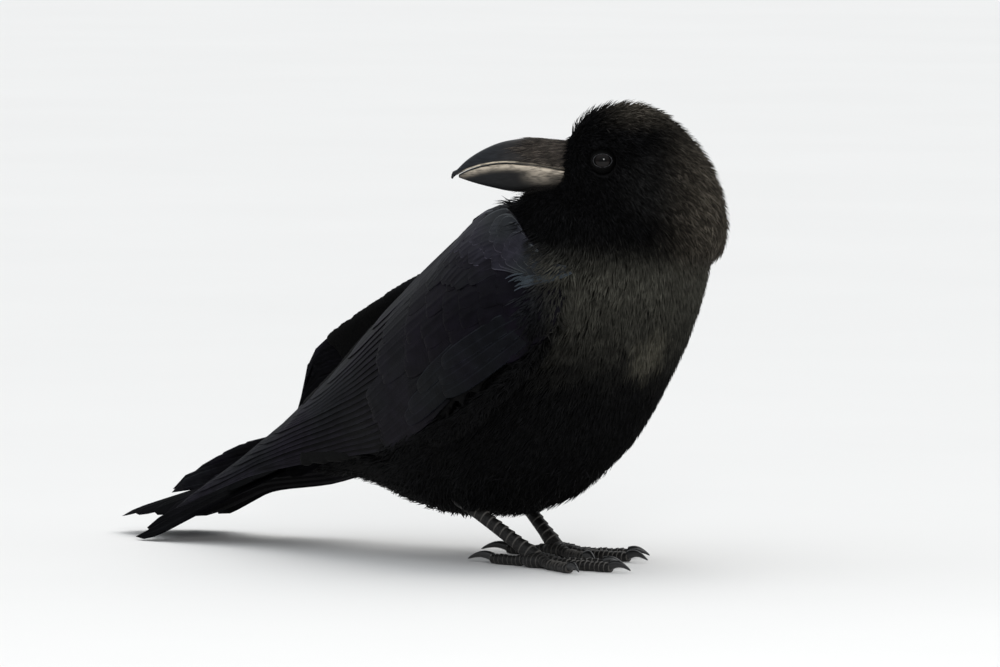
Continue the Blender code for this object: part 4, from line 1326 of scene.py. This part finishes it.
# %% A loft from rings
def lofted(name, rings):
    """A closed mesh bridged over rings of equally many points."""
    shape = bmesh.new()
    loops = []
    for ring in rings:
        made = bmesh.ops.create_circle(shape, segments=len(ring), radius=1.0)["verts"]
        for vert, point in zip(made, ring):
            vert.co = point
        loops.append([edge for edge in shape.edges if edge.verts[0] in made and edge.verts[1] in made])
    for before, after in zip(loops, loops[1:]):
        bmesh.ops.bridge_loops(shape, edges=before + after)
    for loop in (loops[0], loops[-1]):
        bmesh.ops.edgeloop_fill(shape, edges=loop)
    bmesh.ops.recalc_face_normals(shape, faces=shape.faces)
    return mesh_from(shape, name)


def round_angles(count):
    return [2 * math.pi * i / count for i in range(count)]


def smoothed(rows, count):
    """Count rows on the Catmull-Rom curve through the rows given."""
    rows = np.array(rows, float)
    at = np.linspace(0, len(rows) - 1, count)
    k = np.minimum(at.astype(int), len(rows) - 2)
    t = (at - k)[:, None]
    p, q, r, s = (rows[np.clip(k + step, 0, len(rows) - 1)] for step in (-1, 0, 1, 2))
    square, cube = 2 * p - 5 * q + 4 * r - s, 3 * q - p - 3 * r + s
    return 0.5 * (2 * q + (r - p) * t + square * t ** 2 + cube * t ** 3)


# %% [markdown]
# The solids of the frame hold the same stations as this table, so the new horn fills them with a finer
# skin. Each ring is an arch from one cutting edge to the other, closed by a nearly flat inner face. The
# hook is three small tilted rings, for the upper half only.

# %% Shape both halves of the bill
BILL = (  # ahead, culmen, gape, lower edge, half width
    (0.0270, 0.0134, -0.0006, -0.0112, 0.0096),
    (0.0330, 0.0145, 0.0005, -0.0112, 0.0098),
    (0.0430, 0.0155, 0.0022, -0.0108, 0.0091),
    (0.0530, 0.0164, 0.0036, -0.0106, 0.0082),
    (0.0630, 0.0154, 0.0045, -0.0099, 0.0071),
    (0.0705, 0.0134, 0.0042, -0.0084, 0.0060),
    (0.0780, 0.0099, 0.0028, -0.0066, 0.0047),
    (0.0845, 0.0056, 0.0006, -0.0046, 0.0033),
    (0.0895, 0.0008, -0.0020, -0.0028, 0.0020),
)
HOOK = (            # ahead, middle, radius
    (0.0906, -0.0010, 0.0014), (0.0915, -0.0022, 0.0010), (0.0921, -0.0036, 0.0005),
)
BILL_AHEAD, BILL_GAPE = np.array(BILL)[:, 0], np.array(BILL)[:, 2]
ARCH, FLAT = 18, 6  # the parts of a ring's arch and of its flat face
UPPER_STATIONS, LOWER_STATIONS = 34, 32


def gape_at(head):
    """The height of the line between the two halves, at points on the head's axes."""
    return np.interp(head[:, 0], BILL_AHEAD, BILL_GAPE)


def horn_ring(ahead, edge, crest, width, flat_width, flat_height, power, narrowing=0.0, rise_power=1.0):
    """A ring across the bill: an arch from the cutting edges to the crest, and a flat face between them."""
    ring = []
    for i in range(ARCH + 1):
        angle = math.pi * (i / ARCH)
        c, s = math.cos(angle), math.sin(angle)
        across = math.copysign(abs(c) ** power, c) * width * (1 - narrowing * s)
        ring.append(on_head(ahead, across, edge + (crest - edge) * s ** rise_power))
    return ring + [on_head(ahead, flat_width * (-1 + 2 * i / FLAT), flat_height) for i in range(1, FLAT)]


upper_rings = [
    horn_ring(ahead, gape + 0.0002, culmen, half, half * 0.96, gape + 0.0006, power=0.86, narrowing=0.16,
              rise_power=1.08)
    for ahead, culmen, gape, _, half in smoothed(BILL, UPPER_STATIONS)
]
slant = (HEAD_AHEAD * 0.75 + UP * 0.66).normalized()
for ahead, rise, radius in HOOK:
    upper_rings.append([
        on_head(ahead, 0, rise) + HEAD_LEFT * radius * math.cos(a) + slant * radius * 0.9 * math.sin(a)
        for a in round_angles(ARCH + FLAT)
    ])
lower_rings = [
    horn_ring(ahead, gape - 0.0003, low, half * 0.93, half * 0.93, gape - 0.0007, power=0.8)
    for ahead, _, gape, low, half in smoothed(BILL, LOWER_STATIONS)[:-1]
]
print("rings of the bill:", len(upper_rings), "above,", len(lower_rings), "below")

# %% [markdown]
# Two attributes place the colours. One tells how far a point is from the line of the gape, in millimetres,
# and carries the cream of the cutting edges. The other tells how far along the bill it is. Streaks along
# the horn break the cream up, so that it looks grown and not painted.

# %% Colour the horn
def horn_finish(name, upper):
    """Dark horn with a cream cutting edge."""
    made = Finish(name, 0.36, 0.16)
    gape, ahead = made.attribute("gape"), made.attribute("ahead")
    streak = made.noise(260, 4, (1, 1, 5))
    if upper:
        horn = made.mix(made.span(ahead, 0.35, 0.8), (0.030, 0.025, 0.021), (0.018, 0.020, 0.024))
        pale = made.product(made.span(gape, 1.2, 0.6), made.span(ahead, 0.46, 0.60, 0.35, 1.0))
        cream = (0.78, 0.68, 0.53)
    else:
        horn = made.mix(made.span(ahead, 0.1, 0.9), (0.013, 0.0115, 0.010), (0.009, 0.010, 0.012))
        pale = made.product(made.span(gape, 0.5, 0.9), made.span(gape, 6.2, 0.6))
        pale = made.product(made.maths("POWER", pale, 2.1), made.span(ahead, 1.0, 0.5, 0.7, 1.0))
        # towards its root the cream spreads down the side
        root = made.product(
            made.span(gape, 11.5, 1.5, 0.0, 0.62), made.span(ahead, 0.54, 0.34),
            made.span(ahead, 0.18, 0.38, 0.15, 1.0),
        )
        pale = made.maths("MAXIMUM", pale, root)
        cream = (0.76, 0.66, 0.53)
    pale = made.product(pale, made.span(streak, 0.30, 0.60, 0.35, 1.0), made.span(ahead, 1.02, 0.85))
    horn = made.mix(made.span(streak, 0.3, 0.7), horn, made.mix(1.0, horn, (0.6, 0.6, 0.6), "MULTIPLY"))
    made.colour(made.mix(pale, horn, cream))
    made.bump(made.maths("ADD", streak, made.noise(1500, 2)), 0.12, 0.0003)
    return made


def add_horn(name, rings, upper):
    mesh = lofted(name, rings)
    piece = add_piece(name, mesh, horn_finish(name, upper))
    head = head_axes(coords(mesh))
    write_attribute(mesh, "gape", np.abs(head[:, 2] - gape_at(head)) / MM)
    write_attribute(mesh, "ahead", (head[:, 0] - BILL_AHEAD[0]) / (BILL_AHEAD[-1] - BILL_AHEAD[0]))
    return piece


bill_top = add_horn("bill_horn_upper", upper_rings, True)
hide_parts("bill_upper")
bill_low = add_horn("bill_horn_lower", lower_rings, False)
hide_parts("bill_lower")
print("bill:", len(bill_top.data.polygons) + len(bill_low.data.polygons), "faces")

# %% [markdown]
# ## Bristles
# The nostrils of a crow are hidden under stiff bristles, which lie forward over the rear half of the bill,
# the opposite way to all its other feathers. Shorter ones cover the root of the lower half.

# %% Lay the bristles
BRISTLE_COLOUR = np.array((0.105, 0.088, 0.074))
BRISTLE_STEPS, BRISTLE_WIDTH = 3, 0.00024
BRISTLES = (  # name, piece, how far ahead they reach, how many on each mm2, share of the full length
    ("bristles_upper", bill_top, 0.0560, 4.6, 1.0),
    ("bristles_lower", bill_low, 0.0385, 4.2, 0.7),
)
SLENDER = (HAIR, ((0, 0.5, 1), (1.0, 0.9, 0.4)))
bristle = soft_finish("nasal_bristle", 0.5, 0.2, 0.6)


def forward(points, normals):
    """Forward along the bill, and a little down its sides."""
    outwards = np.array(HEAD_LEFT) * np.sign(head_axes(points)[:, 1])[:, None] * 0.02
    return along_surface(np.array(HEAD_AHEAD) + DOWN * 0.12 + outwards, normals)


def bristle_likelihood(reach):
    """Up to a reach ahead, with an uneven front, but not on the cutting edges."""
    def found(points, normals):
        head = head_axes(points)
        stop = reach + 0.006 * np.sin(head[:, 2] * 700) * 0.3
        clear = ease(np.abs(head[:, 2] - gape_at(head)), 0.0012, 0.0026)
        beneath = ease(head[:, 2], -0.0055, -0.0085)
        return ease(head[:, 0] - 0.018 * beneath, stop + 0.005, stop - 0.020) * np.maximum(clear, beneath)
    return found


for name, piece, reach, density, length in BRISTLES:
    horn_map = Surface(piece)
    roots = scatter(horn_map, density, bristle_likelihood(reach))
    points, normals, _ = roots
    height = head_axes(points)[:, 2]
    lengths = uneven(roots, 0.0045, 0.0080) * length
    rise = uneven(roots, 0.0002, 0.0008) + 0.0016 * ease(height, -0.0060, -0.0095)
    spine, up = walk(points, normals, lengths, BRISTLE_STEPS, 0.08, horn_map, forward)
    dark_beneath = 1 - 0.93 * ease(height, -0.0035, -0.0075)
    shade = (uneven(roots, 0.35, 1.25) * dark_beneath)[:, None] * BRISTLE_COLOUR
    feathers(name, roots, raised(spine, up, rise, power=1), up, BRISTLE_WIDTH, SLENDER, bristle, shade)

# %% [markdown]
# Between the bill and the eye the first feathers of the face also lie forward. They run on over the edge of
# the horn, so that the bill grows out of the face and isn't stuck on it.

# %% Let the first feathers of the face run on to the bill
LORES_PER_MM2, LORE_WIDTH = 3.0, 0.00045


def lores(points, normals):
    """The narrow band of face next to the bill."""
    return ease(distances(bill_tree, points), 0.0075, 0.0020) * ease(head_axes(points)[:, 0], 0.012, 0.022)


roots = scatter(skin_map, LORES_PER_MM2, lores)
points, normals, _ = roots
height = head_axes(points)[:, 2]
lengths = uneven(roots, 0.005, 0.008)
spine, up = walk(points - normals * TUFT_ROOT, normals, lengths, TUFT_STEPS, 0.12, skin_map, forward)
beside = ease(height, -0.016, -0.011) * ease(height, 0.007, 0.002)  # shorter where the horn is bare
lengths = uneven(roots, 0.0050, 0.0080) * (1 - 0.6 * beside)
reach = unit(spine[1] - spine[0]) * lengths[:, None] / TUFT_STEPS  # past the skin they run on straight
for step in range(1, TUFT_STEPS + 1):
    spine[step] = spine[0] + reach * step + normals * 0.0007 * step
high = ease(height, -0.010, 0.004) * ease(distances(bill_tree, points), 0.0040, 0.0010)
shade = moved(tint(points), BRISTLE_COLOUR * 0.45, (high * uneven(roots, 0, 1))[:, None])
feathers("lore_feathers", roots, spine, up, LORE_WIDTH, SLENDER, plush, shade)

# %% [markdown]
# ## Eyes
# The eye is a dark brown ball, deep in the head: only a shallow cap of it shows in the opening of the lids.
# The lids end in a thin bare rim, which shows as a pale beaded ring, and a dark fold of skin surrounds it.
# Both rings are small circles spun round the way the eye looks, then pressed flat from above and set on the
# ball.

# %% Make a ring of the lids
LID_RADIUS, LID_SQUASH = 0.0046, 0.71  # the opening of the lids is wider than it is high
SPIN_STEPS, RING_SIDES = 64, 12


def eye_axis(sign):
    return (HEAD_LEFT * sign + HEAD_AHEAD * 0.05 + UP * 0.10).normalized()


def ring_mesh(name, centre, axis, radius, thick, lift):
    """A ring round an axis, lower than it is wide, which lies on the eyeball."""
    first = axis.orthogonal().normalized()
    shape = bmesh.new()
    made = bmesh.ops.create_circle(shape, segments=RING_SIDES, radius=1.0)["verts"]
    for vert, angle in zip(made, round_angles(RING_SIDES)):
        vert.co = centre + first * (radius + thick * math.cos(angle)) + axis * thick * math.sin(angle)
    bmesh.ops.spin(
        shape, geom=shape.verts[:] + shape.edges[:], cent=centre, axis=axis, angle=2 * math.pi,
        steps=SPIN_STEPS, use_merge=True,
    )
    bmesh.ops.remove_doubles(shape, verts=shape.verts, dist=1e-6)
    for vert in shape.verts:
        vert.co -= UP * ((vert.co - centre).dot(UP) * (1 - LID_SQUASH))
        across = (vert.co - centre) - axis * (vert.co - centre).dot(axis)
        vert.co += axis * (math.sqrt(EYE_RADIUS ** 2 - across.length_squared) + lift)
    bmesh.ops.recalc_face_normals(shape, faces=shape.faces)
    return mesh_from(shape, name)


# %% [markdown]
# The wet cornea is smooth and mirrors the sky, so it is the one bright point of a black head. All but the
# cap is made dull, because a ball that shines under the lids would look like a bead. The attribute out
# tells how far towards the middle of the cap a point lies.

# %% Finishes of the eye
def plain_finish(name, roughness, specular, tones, relief):
    """Two tones and a fine relief, which is given as scale, detail, strength and depth."""
    made = Finish(name, roughness, specular)
    made.colour(made.tones(*tones))
    made.bump(made.noise(*relief[:2]), *relief[2:])
    return made


CAP_EDGE = 0.885
eye_finish = Finish("eyeball", 0.05, 0.35)
out = eye_finish.attribute("out")
eye_finish.drive("Roughness", eye_finish.span(out, CAP_EDGE, 0.870, 0.06, 0.6))
eye_finish.drive("Specular IOR Level", eye_finish.span(out, CAP_EDGE, 0.870, 0.19, 0.02))
iris = eye_finish.tones(1800, 3, (0.0020, 0.0013, 0.0011), (0.0050, 0.0030, 0.0024))
ball = eye_finish.mix(eye_finish.span(out, 0.955, 0.968), iris, (0.0012, 0.001, 0.001))
eye_finish.colour(eye_finish.mix(eye_finish.span(out, CAP_EDGE, 0.860), ball, (0.003, 0.003, 0.003)))
beads = (2600, 1, (0.010, 0.010, 0.011), (0.075, 0.075, 0.080), 0.4, 0.6)
rim_finish = plain_finish("lid_rim", 0.5, 0.15, beads, (2600, 1, 0.5, 0.0002))
creases = (1500, 3, (0.0015, 0.0015, 0.0015), (0.004, 0.004, 0.004))
lid_finish = plain_finish("lid_skin", 0.6, 0.06, creases, (1800, 3, 0.6, 0.0003))
print("finishes of the eye:", eye_finish.material.name, rim_finish.material.name, lid_finish.material.name)

# %% [markdown]
# Both eyes are made in one loop, as mirror images on the head's own axes.

# %% Make both eyes
for which, sign in (("left", 1), ("right", -1)):
    centre, axis = middle(f"eye_{which}"), eye_axis(sign)
    shape = bmesh.new()
    bmesh.ops.create_uvsphere(shape, u_segments=40, v_segments=24, radius=EYE_RADIUS)
    turn = UP.rotation_difference(axis).to_matrix().to_4x4()
    bmesh.ops.transform(shape, matrix=Matrix.Translation(centre) @ turn, verts=shape.verts)
    mesh = mesh_from(shape, f"eyeball_{which}")
    ball = add_piece(f"eyeball_{which}", mesh, eye_finish)
    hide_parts(f"eye_{which}")
    write_attribute(mesh, "out", (coords(mesh) - np.array(centre)) @ np.array(axis) / EYE_RADIUS)
    for part, finish, radius, thick, lift in (
        ("lid_rim", rim_finish, LID_RADIUS, 0.00018, 0.00012),
        ("lid_fold", lid_finish, LID_RADIUS + 0.0007, 0.0005, 0.00005),
    ):
        ring = ring_mesh(f"{part}_{which}", centre, axis, radius, thick, lift)
        add_piece(f"{part}_{which}", ring, finish)
    print(f"{which} eye made")

# %% [markdown]
# ## Legs, toes and claws
# The bare shank and the toes are covered with scutes: broad horny plates on the front that overlap
# downwards, each with a paler edge. They are true steps in the shape: the tube swells over each plate and
# drops back at its edge. Under the toes sit soft pads. The claws are curved cones of dark horn.

# %% Make a scaled tube
PLATE_STEPS = (0.0, 0.06, 0.3, 0.6, 0.85, 0.985)  # where the rings of a plate lie within it


def scaled_tube(name, point_at, radius_at, plates, depth, around=20, squash=1.0):
    """A piece with overlapping plates on its front. point_at and radius_at take shares of its length."""
    shares = [(plate + step) / plates for plate in range(plates) for step in PLATE_STEPS] + [1.0]
    points = [point_at(share) for share in shares]
    rings = []
    for share, before, point, after in zip(shares, points[:1] + points, points, points[1:] + points[-1:]):
        ahead = (after - before).normalized()
        side = ahead.cross(UP).normalized()
        up = side.cross(ahead)
        step = (share * plates) % 1.0 if share < 1 else 1.0
        ring = []
        for angle in round_angles(around):
            front = max(math.cos(angle), 0.0) ** 0.6
            radius = radius_at(share) + depth * (step ** 1.3 - 0.35) * front
            ring.append(point + side * radius * squash * math.sin(angle) + up * radius * math.cos(angle))
        rings.append(ring)
    mesh = lofted(name, rings)
    rest_on_floor(mesh)
    mark_plates(mesh, point_at(0), point_at(1), plates)
    return add_piece(name, mesh, scale_finish)


def mark_plates(mesh, start, end, plates):
    """Writes the number of the plate on which each point lies, with how far within it as a fraction."""
    line = np.array(end - start)
    share = np.clip((coords(mesh) - np.array(start)) @ line / (line @ line), 0, 0.9999)
    write_attribute(mesh, "plate", share * plates)


def rest_on_floor(mesh):
    """Presses flat what would reach below the floor."""
    for vert in mesh.vertices:
        vert.co.z = max(vert.co.z, 0.0)


# %% [markdown]
# The finish of the scales knows each plate by the attribute plate, and only has to lighten its edge. A fine
# grain takes the shine off. The claws are smoother, and shine a little.

# %% Finishes of scales and claws
scale_finish = Finish("leg_scales", 0.5, 0.25)
within = scale_finish.maths("FRACT", scale_finish.attribute("plate"))
rim, step = scale_finish.span(within, 0.80, 0.97), scale_finish.span(within, 0.05, 0.0)
edge = scale_finish.product(scale_finish.maths("MAXIMUM", rim, step), 0.75)
dark = scale_finish.tones(1100, 3, (0.0045, 0.0043, 0.0042), (0.0150, 0.0140, 0.0130), 0.35, 0.65)
scale_finish.colour(scale_finish.mix(edge, dark, (0.095, 0.088, 0.080)))
scale_finish.bump(scale_finish.noise(2200, 3), 0.5, 0.0002)
horn = (700, 3, (0.006, 0.006, 0.006), (0.017, 0.0165, 0.0165))
claw_finish = plain_finish("claw_horn", 0.3, 0.5, horn, (1500, 3, 0.2, 0.0002))
print("finishes of the legs:", scale_finish.material.name, claw_finish.material.name)

# %% [markdown]
# A crow stands on three toes ahead and one behind. The shank slopes up and back to the heel, which most
# people take for a knee that bends the wrong way. Each function here makes one piece of a foot.

# %% Shapes of shank, sole, toe and claw
FOOT_HEIGHT, SHANK_LENGTH = 0.0048, 0.058
SHANK_RADIUS, TOE_RADIUS, CLAW_RADIUS = 0.0034, 0.0027, 0.0022
SHANK_SWELL = ((0, 0.08, 0.2, 0.5, 0.8, 0.93, 1), (0.95, 1.25, 1.05, 1.0, 1.05, 1.25, 1.15))  # both joints
SHANK_PLATES, SOLE_PLATES = 13, 7
SHANK_STEP, TOE_STEP = 0.0007, 0.0005  # how far a plate stands off the next
TOE_PLATE = 0.0028  # the length of one plate of a toe
SOLE_HALF = (0.0090, 0.0070, 0.0044)
CLAW_RINGS, CLAW_SIDES = 15, 14


def add_shank(name, ankle, ball):
    """A slim tube that swells at both joints."""
    def shank_at(share):
        return ankle.lerp(ball, share)

    def shank_radius(share):
        return SHANK_RADIUS * float(np.interp(share, *SHANK_SWELL))

    return scaled_tube(name, shank_at, shank_radius, SHANK_PLATES, SHANK_STEP, squash=0.85)


def add_sole(which, foot):
    """A soft flattened ball under the foot."""
    shape = bmesh.new()
    place = Matrix.Translation(foot + Vector((0.001, 0, 0.0034))) @ Matrix.Diagonal((*SOLE_HALF, 1))
    bmesh.ops.create_uvsphere(shape, u_segments=28, v_segments=16, radius=1, matrix=place)
    mesh = mesh_from(shape, f"sole_{which}")
    rest_on_floor(mesh)
    add_piece(f"sole_{which}", mesh, scale_finish)
    mark_plates(mesh, foot - Vector((0.009, 0, 0)), foot + Vector((0.010, 0, 0)), SOLE_PLATES)


def add_toe(name, foot, ahead, length, pads):
    """A toe with a swelling over each pad. Returns the piece and the place where its claw starts."""
    def toe_at(share):
        rise = 0.0024 + 0.0024 * max(1 - share * 3, 0)
        return foot + ahead * (length * share + 0.0030 * (1 - share) + 0.0043 * share) + UP * rise

    def toe_radius(share):
        swell = 0.5 - 0.5 * math.cos(2 * math.pi * share * pads)
        return TOE_RADIUS * (0.94 + 0.14 * swell - 0.12 * share)

    piece = scaled_tube(name, toe_at, toe_radius, round(length / TOE_PLATE), TOE_STEP, around=16)
    return piece, toe_at(1.0) + UP * 0.0002


def add_claw(name, base, ahead, length):
    """A curved cone on the end of a toe."""
    side = ahead.cross(UP)
    rings = []
    for share in (i / (CLAW_RINGS - 1) for i in range(CLAW_RINGS)):
        rise = 0.0022 * math.sin(math.pi * min(share * 0.9 + 0.1, 1)) - 0.0009 * share
        radius = CLAW_RADIUS * (1 - share) ** 0.7 + 0.00025
        centre = base + ahead * (length * share - 0.0006) + UP * rise
        rings.append([
            centre + side * radius * 0.8 * math.sin(angle) + UP * radius * math.cos(angle)
            for angle in round_angles(CLAW_SIDES)
        ])
    mesh = lofted(name, rings)
    rest_on_floor(mesh)
    return add_piece(name, mesh, claw_finish)


# %% [markdown]
# The feet stand a little apart and one ahead of the other, as on a bird that has just stopped. One table
# holds both legs and one the toes, which the left foot mirrors.

# %% Build both legs
LEGS = {  # sign, the foot from the middle between the feet, slope of the shank in degrees
    "right": (-1, (0.0133, -0.0260, 0), 31),
    "left": (1, (-0.0140, 0.0260, 0), 44),
}
TOES = {  # angle in degrees, length, length of the claw, pads
    "hind": (176, 0.0250, 0.0170, 2),
    "inner": (27, 0.0300, 0.0115, 3),
    "middle": (1, 0.0420, 0.0125, 4),
    "outer": (-26, 0.0330, 0.0110, 4),
}
for which, (sign, place, slope) in LEGS.items():
    foot, slope = on_bird(*place), math.radians(slope)
    ball = foot + UP * FOOT_HEIGHT
    ankle = ball + Vector((-math.cos(slope), sign * 0.06, math.sin(slope))) * SHANK_LENGTH
    shank = add_shank(f"shank_{which}", ankle, ball)
    add_sole(which, foot)
    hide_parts(f"tarsus_{which}")
    for toe, (angle, length, claw_length, pads) in TOES.items():
        angle = math.radians(angle)
        ahead = Vector((math.cos(angle), -sign * math.sin(angle), 0))
        piece, base = add_toe(f"toe_{which}_{toe}_scales", foot, ahead, length, pads)
        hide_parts(f"toe_{which}_{toe}")
        claw = add_claw(f"talon_{which}_{toe}", base, ahead, claw_length)
        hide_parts(f"claw_{which}_{toe}")
    print(f"{which} leg made")
